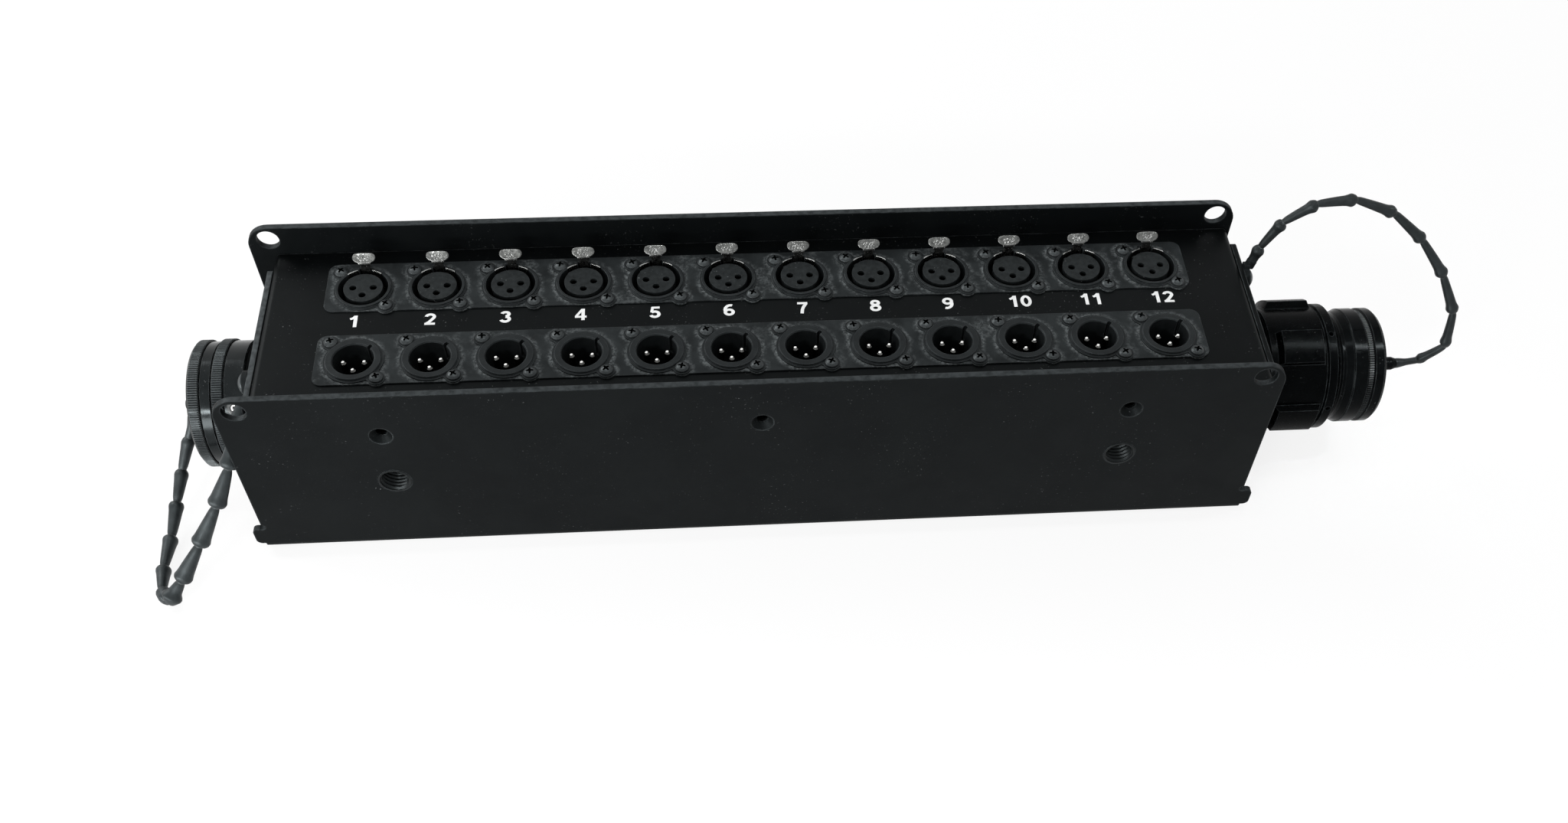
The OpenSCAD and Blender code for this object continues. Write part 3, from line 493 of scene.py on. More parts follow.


# For each plain finish: its dark and light tone, its roughness from and to, its shine, and what else differs.
# Edge colours are wear with a painted highlight; top colours are a painted highlight on upper faces.
LOOKS = {
    "chassis_paint": ((0.0014, 0.0018, 0.0020), (0.0026, 0.0032, 0.0034), (0.46, 0.56), 0.070, dict(
        edge=(0.046, 0.052, 0.054), edge_radius=0.0008, dust=0.35, top=(0.038, 0.043, 0.045))),
    "panel_paint": ((0.0010, 0.0013, 0.0014), (0.0022, 0.0027, 0.0029), (0.32, 0.42), 0.065, dict(
        edge=(0.075, 0.083, 0.086), edge_radius=0.0008, dust=0.6)),
    # A copy of the chassis paint with stronger painted highlights on its edges and top, for the left end plate.
    "end_plate_paint": ((0.0014, 0.0018, 0.0020), (0.0026, 0.0032, 0.0034), (0.46, 0.56), 0.078, dict(
        edge=(0.070, 0.078, 0.081), edge_radius=0.0008, dust=0.35, top=(0.060, 0.067, 0.070))),
    # Painted shade: near black for parts that sit in the dark gap at the left connector.
    "shade_black": ((0.0003, 0.0004, 0.0004), (0.0008, 0.0009, 0.0010), (0.55, 0.7), 0.02, dict(
        patch=0.006, edge_radius=0.0003)),
    "socket_shell": ((0.0070, 0.0081, 0.0086), (0.0130, 0.0150, 0.0157), (0.34, 0.48), 0.12, dict(
        patch=0.006, grain=0.0004, edge=(0.070, 0.078, 0.081), edge_radius=0.00035)),
    "grey_plastic": ((0.0058, 0.0068, 0.0071), (0.0155, 0.0179, 0.0186), (0.36, 0.5), 0.12, dict(
        patch=0.0022, grain=0.0003, edge=(0.045, 0.050, 0.052), edge_radius=0.00025, dust=0.8)),
    "black_plastic": ((0.0008, 0.0010, 0.0011), (0.0018, 0.0022, 0.0024), (0.20, 0.36), 0.05, dict(
        patch=0.015, edge=(0.022, 0.026, 0.028), edge_radius=0.0005)),
    "right_ring_black": ((0.0004, 0.0005, 0.0006), (0.0012, 0.0015, 0.0016), (0.20, 0.32), 0.022, dict(
        patch=0.009, grain=0.0004, grain_depth=0.00001, edge=(0.050, 0.057, 0.060), edge_radius=0.0005,
        dust=0.3)),
    "black_rubber": ((0.0030, 0.0036, 0.0038), (0.0062, 0.0073, 0.0077), (0.50, 0.66), 0.09, dict(
        patch=0.006, edge=(0.025, 0.029, 0.031), edge_radius=0.0004)),
    "tether_rubber": ((0.0078, 0.0095, 0.0101), (0.0215, 0.0251, 0.0264), (0.34, 0.50), 0.26, dict(
        patch=0.005, grain=0.0005, edge=(0.12, 0.128, 0.13), edge_radius=0.0007)),
    # A darker copy of the tether rubber: painted shade for the dimmer right end.
    "shaded_tether_rubber": ((0.0045, 0.0055, 0.0058), (0.0125, 0.0147, 0.0154), (0.34, 0.50), 0.22, dict(
        patch=0.005, grain=0.0005, edge=(0.085, 0.092, 0.095), edge_radius=0.0007)),
    "cable_jacket": ((0.010, 0.0105, 0.011), (0.018, 0.019, 0.0195), (0.5, 0.65), 0.2, dict(
        patch=0.01, edge_radius=0.0003)),
    "black_screw": ((0.0170, 0.0190, 0.0197), (0.0380, 0.0420, 0.0435), (0.26, 0.40), 0.30, dict(
        patch=0.002, grain=0.0003, edge=(0.14, 0.15, 0.153), edge_radius=0.00025)),
    # Painted shade in the screws' cross recesses.
    "screw_recess": ((0.0004, 0.0005, 0.0005), (0.0010, 0.0012, 0.0012), (0.5, 0.65), 0.03, dict(
        patch=0.002, grain=0.0003, edge_radius=0.0001)),
    # Darker than the other black screws: painted shade, so the end plate screws sink into the dark beside the
    # connectors.
    "end_screw_black": ((0.0012, 0.0014, 0.0015), (0.0028, 0.0033, 0.0035), (0.34, 0.48), 0.05, dict(
        patch=0.002, grain=0.0003, edge=(0.016, 0.018, 0.019), edge_radius=0.0003)),
    "insert_black": ((0.0010, 0.0012, 0.0013), (0.0032, 0.0037, 0.0039), (0.30, 0.44), 0.16, dict(
        patch=0.003, grain=0.0004, edge_radius=0.0002, edge=(0.030, 0.034, 0.035))),
    "dark_contact": ((0.0003, 0.0003, 0.0003), (0.0008, 0.0008, 0.0007), (0.5, 0.6), 0.01, dict(
        patch=0.001, grain=0.0003, edge_radius=0.0002)),
    "dark_metal": ((0.0020, 0.0024, 0.0026), (0.0045, 0.0052, 0.0055), (0.26, 0.4), 0.12, dict(
        patch=0.012, edge=(0.035, 0.040, 0.042), edge_radius=0.0004)),
    "dark_aluminium": ((0.0022, 0.0027, 0.0029), (0.0060, 0.0070, 0.0074), (0.13, 0.22), 0.19, dict(
        patch=0.007, grain=0.0004, grain_depth=0.00001, edge=(0.13, 0.14, 0.145), edge_radius=0.0003,
        dust=0.4, turned=0.0004)),
    "black_aluminium": ((0.0006, 0.0008, 0.0009), (0.0016, 0.0020, 0.0022), (0.16, 0.24), 0.036, dict(
        patch=0.009, grain=0.0004, grain_depth=0.00001, edge=(0.055, 0.062, 0.064), edge_radius=0.0005,
        dust=0.3, turned=0.0004)),
    "nickel_steel": ((0.16, 0.16, 0.157), (0.30, 0.30, 0.295), (0.24, 0.40), 0.5, dict(
        patch=0.002, grain=0.0004, metal=1.0, edge_radius=0.0003)),
    "dark_steel": ((0.010, 0.011, 0.0115), (0.022, 0.024, 0.025), (0.24, 0.40), 0.5, dict(
        patch=0.003, grain=0.0004, metal=1.0, edge_radius=0.0003, edge=(0.11, 0.115, 0.118))),
    "gold_contact": ((0.55, 0.40, 0.16), (0.75, 0.56, 0.25), (0.18, 0.3), 0.5, dict(
        patch=0.001, grain=0.0003, metal=1.0, edge_radius=0.0002)),
    "spring_steel": ((0.24, 0.245, 0.24), (0.44, 0.45, 0.44), (0.16, 0.26), 0.5, dict(
        patch=0.002, grain=0.0004, metal=1.0, edge_radius=0.0002)),
    "washer_steel": ((0.035, 0.037, 0.037), (0.080, 0.083, 0.083), (0.40, 0.52), 0.5, dict(
        patch=0.002, grain=0.0003, metal=1.0, edge_radius=0.0002)),
    "print_white": ((0.72, 0.73, 0.73), (0.84, 0.85, 0.85), (0.5, 0.62), 0.2, dict(
        patch=0.003, grain=0.0005, edge_radius=0.0001)),
}
finishes = {name: coated(name, *look, **more) for name, (*look, more) in LOOKS.items()}
finishes["pad_rubber"] = pad_surface()
finishes["latch_nickel"] = latch_surface()
finishes["silver_pin"] = pin_surface()

# Nodes that look unlike the rest of their material slot. The left shell and gasket are painted shade in near black,
# the end plate screws are darker as painted shade, and the left end plate takes stronger painted highlights.
OWN_FINISH = {
    "rim_springs": "spring_steel",
    "left_shell": "shade_black",
    "left_gasket": "shade_black",
    "left_end_plate": "end_plate_paint",
    "end_plate_screws": "end_screw_black",
    "right_ring": "right_ring_black",
}
slot_of = {part["node"]: part["material_slot"] for part in frame["record"]["subparts"]}
for node_name, node_object in frame["nodes"].items():
    node_object.data.materials.clear()
    node_object.data.materials.append(finishes[OWN_FINISH.get(node_name, slot_of[node_name])])


def mesh_from(name, points, faces):
    """A mesh from points in mm."""
    mesh = bpy.data.meshes.new(name)
    mesh.from_pydata([Vector(p) * MM for p in points], [], faces)
    return mesh


def keep(name, mesh, material, slot_name, smooth):
    """Links a finished mesh as a piece. Edges over smooth degrees stay sharp, and 0 leaves all of it flat."""
    mesh.update()
    piece = bpy.data.objects.new(name, mesh)
    bpy.context.scene.collection.objects.link(piece)
    mesh.materials.append(material)
    if smooth:
        mesh.polygons.foreach_set("use_smooth", [True] * len(mesh.polygons))
        mesh.set_sharp_from_angle(angle=math.radians(smooth))
    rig.slot(piece, slot_name)
    return piece


AS_IS = (0, 1, 2, 3)
TURNED_OVER = (3, 2, 1, 0)


def add_rings(verts, faces, rings, foot=False, top=False, loop=False, order=AS_IS):
    """Adds rings of points with quads between them, whose corners run in the given order.

    A face can close the foot and the top, or loop joins the last ring to the first.
    """
    base, rows, count = len(verts), len(rings), len(rings[0])
    for i, ring in enumerate(rings):
        verts += ring
        if i < rows - 1 or loop:
            here, there = base + i * count, base + (i + 1) % rows * count
            for j in range(count):
                n = (j + 1) % count
                quad = (here + j, here + n, there + n, there + j)
                faces.append(tuple(quad[corner] for corner in order))
    if foot:
        faces.append(tuple(reversed(range(base, base + count))))
    if top:
        faces.append(tuple(range(base + (rows - 1) * count, base + rows * count)))


def circle(count):
    """Cosine and sine of count even steps round a turn."""
    return [(math.cos(2 * math.pi * i / count), math.sin(2 * math.pi * i / count)) for i in range(count)]


# Tethers. Their routes repeat the ones in the CAD source, in metres. Beads are in mm from the knob.
LEFT_ROUTE = [
    (-0.2385, -0.0025, 0.0345), (-0.242, -0.007, 0.027), (-0.245, -0.0135, 0.020), (-0.2475, -0.0215, 0.014),
    (-0.249, -0.030, 0.009), (-0.250, -0.0395, 0.005), (-0.251, -0.050, 0.0035), (-0.251, -0.060, 0.0035),
    (-0.2495, -0.0705, 0.0045), (-0.245, -0.078, 0.006), (-0.239, -0.0735, 0.0125), (-0.2335, -0.0685, 0.020),
    (-0.228, -0.0635, 0.027), (-0.223, -0.0585, 0.0345), (-0.218, -0.053, 0.042), (-0.214, -0.0475, 0.0495),
    (-0.2105, -0.041, 0.057), (-0.208, -0.034, 0.0635), (-0.2055, -0.028, 0.068)]
RIGHT_ROUTE = [
    (0.284, 0.0, 0.0387), (0.2885, 0.0, 0.0387), (0.295, 0.0, 0.041), (0.3015, -0.0015, 0.049),
    (0.3025, 0.0005, 0.0595), (0.3005, 0.004, 0.0695), (0.296, 0.0085, 0.078), (0.2905, 0.0125, 0.0865),
    (0.2835, 0.017, 0.094), (0.276, 0.020, 0.1005), (0.2675, 0.0225, 0.1065), (0.2575, 0.024, 0.1105),
    (0.247, 0.025, 0.1125), (0.236, 0.0255, 0.1105), (0.2265, 0.025, 0.1055), (0.220, 0.025, 0.0975),
    (0.216, 0.0245, 0.089), (0.2135, 0.0235, 0.081)]
LEFT_BEADS = (10.8, 24.9, 38.6, 54.1, 69.6, 82.6, 91.0, 101.3, 119.0, 137.4, 154.4, 171.0)
RIGHT_BEADS = (9.8, 23.7, 40.6, 58.8, 78.4, 97.4, 116.1, 132.2, 147.5, 162.3)
LAST_LINK = 16.0
BEAD_RISE = 2.6
ROOT_SWELL = 0.45
FIRST_GROWTH = 55
LATE_GROWTH = (85, 105)
PATH_STEP = 0.0005
PATH_STRIDE = 4
CURVE_STEPS = 24
CORD_SIDES = 20
STRAIGHTNESS = 0.8


def smooth_path(points, step):
    """Points a step apart on a smooth curve through the given ones, and the curve's length."""
    points = [Vector(p) for p in points]
    held = [points[0] * 2 - points[1], *points, points[-1] * 2 - points[-2]]
    fine = []
    for i in range(1, len(held) - 2):
        a, b, c, d = held[i - 1:i + 3]
        for j in range(CURVE_STEPS):
            t = j / CURVE_STEPS
            fine.append(0.5 * (2 * b + (c - a) * t + (2 * a - 5 * b + 4 * c - d) * t ** 2
                               + (3 * b - a - 3 * c + d) * t ** 3))
    fine.append(points[-1])
    reach = [0.0]
    for a, b in zip(fine, fine[1:]):
        reach.append(reach[-1] + (b - a).length)
    count = max(2, round(reach[-1] / step))
    path, at = [], 0
    for i in range(count + 1):
        goal = reach[-1] * i / count
        while at < len(reach) - 2 and reach[at + 1] < goal:
            at += 1
        part = (goal - reach[at]) / max(reach[at + 1] - reach[at], 1e-9)
        path.append(fine[at].lerp(fine[at + 1], min(max(part, 0.0), 1.0)))
    return path, reach[-1]


def angular(path, length, beads, share):
    """Draws a path in towards straight links between its beads."""
    count = len(path) - 1
    marks = [0] + [min(round(b * MM / length * count), count) for b in beads] + [count]
    moved = [Vector(p) for p in path]
    for a, b in zip(marks, marks[1:]):
        for i in range(a, b):
            chord = path[a].lerp(path[b], (i - a) / (b - a))
            moved[i] = path[i].lerp(chord, share)
    soft = [Vector(p) for p in moved]
    for i in range(2, count - 1):
        soft[i] = (moved[i - 2] + moved[i - 1] + moved[i] + moved[i + 1] + moved[i + 2]) / 5
    return soft


def eased(t):
    """Rises softly from 0 at 0 to 1 at 1."""
    t = min(max(t, 0.0), 1.0)
    return t * t * (3 - 2 * t)


def bell(offset, width):
    """1 at no offset, falling off over the width."""
    return math.exp(-(offset / width) ** 2)


def link_radius(s, beads, thin, thick, full):
    """Radius of a beaded tether s mm from the knob.

    A link starts at each bead with a lump and then tapers. full is how much of the lump's size its body has.
    """
    at = max((b for b in beads if b <= s), default=None)
    after = min((b for b in beads if b > s), default=None)
    if at is None:
        return thin * (1 + ROOT_SWELL - ROOT_SWELL * eased(s / (0.6 * after)))
    length = (after if after is not None else at + LAST_LINK) - at
    d = s - at
    rise = math.sqrt(1 - (1 - min(d / BEAD_RISE, 1.0)) ** 2)
    body = thin + full * (thick - thin) * (1 - (d / length) ** 1.2)
    lump = (1 - full) * (thick - thin) * bell(d - 2.0, 1.7)
    pinch = 0.12 * thin * bell(after - s, 1.2) if after is not None else 0.0
    return thin + (body + lump - thin) * rise - pinch


def tether(name, route, beads, thin, thick, late, full, material, knots=()):
    """A beaded cord, with the radius thin between its links and thick at its beads.

    Its links grow over FIRST_GROWTH, and by the share late within LATE_GROWTH. Knots are lumps between
    beads: their place, width and height.
    """
    path, length = smooth_path(route, PATH_STEP)
    path = angular(path, length, beads, STRAIGHTNESS)
    late_from, late_to = LATE_GROWTH
    turn = Vector((0, 0, 1)).cross(path[1] - path[0]).normalized()
    rings = []
    for i, p in enumerate(path):
        ahead = (path[min(i + 1, len(path) - 1)] - path[max(i - 1, 0)]).normalized()
        turn = (turn - ahead * turn.dot(ahead)).normalized()
        other = ahead.cross(turn)
        s = length / MM * i / (len(path) - 1)
        grown = 0.62 + 0.38 * eased(s / FIRST_GROWTH)
        grown *= 1 + late * eased((s - late_from) / (late_to - late_from))
        bead = thin + (thick - thin) * grown
        r = link_radius(s, beads, thin, bead, full) + sum(k * bell(s - c, w) for c, w, k in knots)
        ring = []
        for k in range(CORD_SIDES):
            a = 2 * math.pi * k / CORD_SIDES
            # The moulding has a seam on each side and is slightly flattened.
            r_here = r * (1 - 0.05 * math.cos(2 * a) - 0.02 * math.cos(4 * a))
            ring.append(p / MM + (turn * math.cos(a) + other * math.sin(a)) * r_here)
        rings.append(ring)
    verts, faces = [], []
    add_rings(verts, faces, rings, foot=True, top=True)
    piece = keep(name, mesh_from(name, verts, faces), material, "black_rubber", 38.0)
    return piece, [tuple(p) for p in path[::PATH_STRIDE] + [path[-1]]]


left_piece, left_path = tether("left_tether_links", LEFT_ROUTE, LEFT_BEADS, 1.75, 3.3, 0.38, 0.86,
                               finishes["tether_rubber"], knots=((88.0, 2.6, 0.9), (93.5, 1.6, 0.9)))
right_piece, right_path = tether("right_tether_links", RIGHT_ROUTE, RIGHT_BEADS, 1.5, 2.75, 0.0, 0.60,
                                 finishes["shaded_tether_rubber"])
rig.replaces(left_piece, "left_tether")
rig.replaces(right_piece, "right_tether")
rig.blend(left_piece, "chassis", "left_knob", start=LEFT_ROUTE[-1], end=LEFT_ROUTE[0])
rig.blend(right_piece, "chassis", "right_knob", start=RIGHT_ROUTE[-1], end=RIGHT_ROUTE[0])
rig.cord(left_piece, exit=LEFT_ROUTE[0], length=0.180, diameter=0.0044, far_end="object", stiffness="medium",
        lay="hanging", path=left_path, with_pieces=["left_knob", "left_lug"])
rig.cord(right_piece, exit=RIGHT_ROUTE[0], length=0.169, diameter=0.0044, far_end="object", stiffness="medium",
        lay="hanging", path=right_path, with_pieces=["right_knob", "right_lug"])


def arc(cx, cy, rx, ry, start, end, count=22):
    """Points along part of an ellipse, between two angles in degrees."""
    angles = [math.radians(start + (end - start) * i / count) for i in range(count + 1)]
    return [(cx + rx * math.cos(a), cy + ry * math.sin(a)) for a in angles]


# Channel numbers. Each digit is drawn as lines with a width, in a box DIGIT_BOX wide and 1 high.
DIGIT_BOX = 0.68
DIGITS = {
    "0": [(arc(0.34, 0.5, 0.23, 0.405, 0, 360, 36), 0.19)],
    "1": [([(0.40, 0.0), (0.40, 1.0)], 0.20), ([(0.10, 0.70), (0.24, 0.76), (0.36, 0.90)], 0.17)],
    "2": [(arc(0.335, 0.70, 0.225, 0.205, 172, -38) + [(0.30, 0.26), (0.12, 0.09)], 0.19),
          ([(0.04, 0.09), (0.63, 0.09)], 0.18)],
    "3": [(arc(0.32, 0.735, 0.20, 0.175, 165, -88), 0.19), (arc(0.32, 0.29, 0.235, 0.205, 88, -165), 0.19)],
    "4": [([(0.44, 0.96), (0.10, 0.36)], 0.16), ([(0.02, 0.30), (0.68, 0.30)], 0.17),
          ([(0.48, 1.0), (0.48, 0.0)], 0.19)],
    "5": [([(0.15, 0.91), (0.60, 0.91)], 0.18), ([(0.205, 0.97), (0.145, 0.50)], 0.16),
          (arc(0.325, 0.325, 0.235, 0.235, 140, -160), 0.19)],
    "6": [(arc(0.345, 0.31, 0.225, 0.22, 0, 360, 32), 0.19), (arc(0.43, 0.52, 0.315, 0.395, 195, 72), 0.19)],
    "7": [([(0.05, 0.91), (0.64, 0.91)], 0.18),
          ([(0.57, 0.88), (0.42, 0.62), (0.33, 0.36), (0.29, 0.0)], 0.19)],
    "8": [(arc(0.335, 0.735, 0.195, 0.175, 0, 360, 32), 0.19),
          (arc(0.335, 0.29, 0.235, 0.205, 0, 360, 32), 0.19)],
}
DIGITS["9"] = [([(DIGIT_BOX - x, 1.0 - y) for x, y in line], width) for line, width in DIGITS["6"]]
PRINT_PITCH = 30.39
PRINT_Y = 5.4
PRINT_HEIGHT = 6.45
PRINT_WIDTH = 5.0
PRINT_LIFT = 0.03
LAYER_LIFT = 0.006


def ribbon(line, width):
    """Left and right sides of a stroke, with mitred corners."""
    left, right = [], []
    closed = math.dist(line[0], line[-1]) < 1e-6
    for i, p in enumerate(line):
        before = line[i - 1] if i else (line[-2] if closed else None)
        after = line[i + 1] if i < len(line) - 1 else (line[1] if closed else None)
        ways = []
        for a, b in ((before, p), (p, after)):
            if a is not None and b is not None:
                d = Vector((b[0] - a[0], b[1] - a[1])).normalized()
                ways.append(Vector((-d.y, d.x)))
        n = sum(ways, Vector((0, 0)))
        n.normalize()
        reach = width / 2 / max(n.dot(ways[0]), 0.5)
        left.append((p[0] + n.x * reach, p[1] + n.y * reach))
        right.append((p[0] - n.x * reach, p[1] - n.y * reach))
    return left, right


def number(k):
    """A channel number as thin raised strokes. Each stroke of a digit lies a little over the one before."""
    text = str(k)
    verts, faces = [], []
    start = PANEL_SHIFT + (k - (CHANNELS + 1) / 2) * PRINT_PITCH - PRINT_WIDTH * len(text) / 2
    for place, digit in enumerate(text):
        for layer, (line, width) in enumerate(DIGITS[digit]):
            left, right = ribbon(line, width)
            top = PANEL_TOP + PRINT_LIFT + LAYER_LIFT * layer
            base = len(verts)
            for a, b in zip(left, right):
                for x, y in (a, b):
                    px = start + place * PRINT_WIDTH * 1.02 + x * PRINT_WIDTH / DIGIT_BOX * 0.98
                    py = PRINT_Y + (y - 0.5) * PRINT_HEIGHT
                    verts += [(px, py, top), (px, py, PANEL_TOP - 0.01)]
            for i in range(len(line) - 1):
                a = base + 4 * i
                faces += [(a, a + 4, a + 6, a + 2), (a + 1, a + 5, a + 4, a), (a + 2, a + 6, a + 7, a + 3)]
            a = base + 4 * (len(line) - 1)
            faces += [(base, base + 2, base + 3, base + 1), (a, a + 1, a + 3, a + 2)]
    name = "number_%02d" % k
    mesh = mesh_from(name, verts, faces)
    mesh_work = bmesh.new()
    mesh_work.from_mesh(mesh)
    bmesh.ops.recalc_face_normals(mesh_work, faces=mesh_work.faces)
    mesh_work.to_mesh(mesh)
    mesh_work.free()
    piece = keep(name, mesh, finishes["print_white"], "panel_paint", 0)
    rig.ride(piece, "chassis")


for k in range(1, CHANNELS + 1):
    number(k)


# Push tabs of the latches: a pressed head with a lip, tilted, on a flat neck.
TAB_HEIGHT = 3.6
TAB_Y = 11.2
TAB_REACH = 2.5
TAB_SLIM = 0.93
TAB_END = 4.7
TAB_LAYERS = ((0.90, 0.0), (0.98, 0.15), (1.0, 0.45), (1.0, 0.75), (0.97, 0.98), (0.92, 1.08), (0.80, 1.04),
              (0.55, 1.0), (0.25, 0.98))
GRIP_DOTS = ((-1.9, 0.1), (-0.65, 0.5), (0.65, 0.15), (1.9, 0.6), (-1.25, -0.75), (0.05, -0.7), (1.3, -0.6))
GRIP_RINGS = ((0.42, 0.95), (0.34, 1.12), (0.16, 1.2))
LIP_PROFILE = ((0.9, 0.15), (0.9, 1.0), (0.2, 0.9), (-0.35, 0.35), (-0.45, -0.2), (0.0, -0.1))
LIP_ROWS = ((-2.5, 0.12), (-2.2, 0.0), (2.2, 0.0), (2.5, 0.12))
NECK_HALF_WIDTH = 1.9
NECK_Y = (11.0, 12.0)
NECK_BEVEL = 0.18


def tab_outline():
    """Rounded head with its ends cut straight, seen along its normal."""
    right = [(2.5, -2.1), (4.35, -1.4), (5.3, 0.05), (4.6, 1.6), (3.1, 2.1)]
    points = right + [(-x, y) for x, y in reversed(right)]
    for _ in range(3):
        cut = []
        for a, b in zip(points, points[1:] + points[:1]):
            cut += [(0.8 * a[0] + 0.2 * b[0], 0.8 * a[1] + 0.2 * b[1]),
                    (0.2 * a[0] + 0.8 * b[0], 0.2 * a[1] + 0.8 * b[1])]
        points = cut
    return [(min(max(x * TAB_SLIM, -TAB_END), TAB_END), y) for x, y in points]


def tab_head():
    """Points and faces of a head that lies flat: its plate, the grip dots on it and the lip below it."""
    head, faces = [], []
    outline = tab_outline()
    add_rings(head, faces, [[(x * scale, y * scale + TAB_REACH, z) for x, y in outline]
                            for scale, z in TAB_LAYERS], foot=True, top=True)
    for dx, dy in GRIP_DOTS:
        add_rings(head, faces, [[(dx + r * cos, dy + TAB_REACH + r * sin, z) for cos, sin in circle(8)]
                                for r, z in GRIP_RINGS], top=True)
    add_rings(head, faces, [[(x, y - inset * (1 if y > 0 else -1), z - inset * (1 if z > 0.3 else -1))
                             for y, z in LIP_PROFILE] for x, inset in LIP_ROWS], foot=True, top=True)
    return head, faces


def bevelled_box(low, high, c):
    """Rings of a box whose edges are cut by c."""
    rings = []
    for z, inset in ((low[2], c), (low[2] + c, 0.0), (high[2] - c, 0.0), (high[2], c)):
        ax, ay, bx, by = low[0] + inset, low[1] + inset, high[0] - inset, high[1] - inset
        rings.append([(ax + c, ay, z), (bx - c, ay, z), (bx, ay + c, z), (bx, by - c, z),
                      (bx - c, by, z), (ax + c, by, z), (ax, by - c, z), (ax, ay + c, z)])
    return rings


def latch_piece(k):
    """A latch: the tilted head on a neck that ends in a hook."""
    node = "latch_%02d" % k
    head, faces = tab_head()
    tilt = Matrix.Rotation(math.radians(45), 4, "X")
    place = Vector((channel_x(k), REAR_ROW + TAB_Y, FLANGE_FACE + TAB_HEIGHT))
    verts = [tuple(tilt @ Vector(p) + place) for p in head]
    x0, x1 = channel_x(k) - NECK_HALF_WIDTH, channel_x(k) + NECK_HALF_WIDTH
    y0, y1 = REAR_ROW + NECK_Y[0], REAR_ROW + NECK_Y[1]
    z0, z1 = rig.box(node)[0].z / MM, FLANGE_FACE + TAB_HEIGHT + 0.35
    neck = (x0, y0, z0), (x1, y1, z1)
    hook = (x0, y0 - 0.7, z0), (x1, y0 + 0.5, z0 + 1.4)
    for low, high in (neck, hook):
        add_rings(verts, faces, bevelled_box(low, high, NECK_BEVEL), foot=True, top=True)
    name = "latch_tab_%02d" % k
    piece = keep(name, mesh_from(name, verts, faces), finishes["latch_nickel"], "latch_nickel", 40.0)
    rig.replaces(piece, node)
    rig.ride(piece, node)


for k in range(1, CHANNELS + 1):
    latch_piece(k)


# Knurled bands. A tooth is a share of its step round the band, and how high it stands there.
TOOTH = ((0.0, 0.0), (0.3, 1.0), (0.6, 1.0), (0.9, 0.0))
KNURL_CHAMFER = 0.35


def knurl(name, body, worn_and_lit, shine, slot_name, end, a, b, low, high, teeth, highlight_side=None):
    """A straight knurled band round the connector axis, from height a to b off an end plate."""
    way, face = (-1, LEFT_X) if end == "left" else (1, RIGHT_X)
    around = [(2 * math.pi * (t + part) / teeth, lift) for t in range(teeth) for part, lift in TOOTH]
    rings = []
    for h, full in ((a, 0.0), (a + KNURL_CHAMFER, 1.0), (b - KNURL_CHAMFER, 1.0), (b, 0.0)):
        ring = []
        for angle, lift in around:
            r = low + (high - low) * lift * full
            ring.append((face + way * h, r * math.cos(angle), AXIS_Z + r * math.sin(angle)))
        rings.append(ring)
    verts, faces = [], []
    add_rings(verts, faces, rings, order=TURNED_OVER if way < 0 else AS_IS)
    material = knurl_surface(name.replace("knurl", "teeth"), low, high - 0.05, worn_and_lit, shine, highlight_side)
    piece = keep(name, mesh_from(name, verts, faces), material, slot_name, 25.0)
    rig.ride(piece, body)


# The colour after each body is the painted highlight with wear on the tooth tops. The right cap's last pair is the
# side where its painted highlight lies.
knurl("left_cap_knurl", "left_cap", (0.052, 0.058, 0.060), 0.20, "dark_aluminium", "left",
      25.2, 29.6, 26.12, 26.6, 170)
knurl("left_ring_knurl", "left_ring", (0.044, 0.050, 0.052), 0.18, "dark_aluminium", "left",
      15.5, 20.0, 26.32, 26.8, 170)
knurl("right_cap_knurl", "right_cap", (0.150, 0.162, 0.166), 0.12, "black_aluminium", "right",
      51.9, 54.9, 23.62, 24.1, 150, (-0.36, 0.93))


# Milled seat round the left ring's set screw, by radius and height over the axis.
SEAT_PROFILE = ((1.5, 26.0), (1.5, 26.22), (1.75, 26.3), (2.8, 26.3), (3.0, 26.2), (3.0, 25.8))
screw_low, screw_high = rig.box("left_set_screw")
screw_at = (screw_low + screw_high) / 2 / MM
out = Vector((0, screw_at.y, screw_at.z - AXIS_Z)).normalized()
across = Vector((1, 0, 0))
along = out.cross(across)
axis_at = Vector((screw_at.x, 0, AXIS_Z))
verts, faces = [], []
add_rings(verts, faces, [[axis_at + out * lift + across * (r * cos) + along * (r * sin)
                          for cos, sin in circle(40)] for r, lift in SEAT_PROFILE])
seat = keep("left_screw_seat", mesh_from("left_screw_seat", verts, faces), finishes["washer_steel"],
            "nickel_steel", 35.0)
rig.ride(seat, "left_ring")


# Heads of the socket screws: a low dome with a cross recess. CROSS is a quarter of the recess's outline.
CROSS = [(1.55, 0.0), (1.5, 0.36), (0.95, 0.42), (0.46, 0.46), (0.42, 0.95), (0.36, 1.5)]
HEAD_FOOT = FLANGE_FACE + 0.6
HEAD_HEIGHT = 1.72
RECESS_FLOOR = 0.55


def dome(r):
    """Height of a screw head's dome at the radius r."""
    return HEAD_FOOT + HEAD_HEIGHT - 0.10 * r * r - 0.006 * r ** 4


HEAD_RIM = ((1.85, dome(1.85)), (2.2, dome(2.2)), (2.5, dome(2.5) - 0.12), (2.66, HEAD_FOOT + 0.62),
            (2.7, HEAD_FOOT + 0.35), (2.7, HEAD_FOOT))
RECESS_STEPS = ((1.0, 0.0), (0.93, 0.35), (0.62, 0.95))


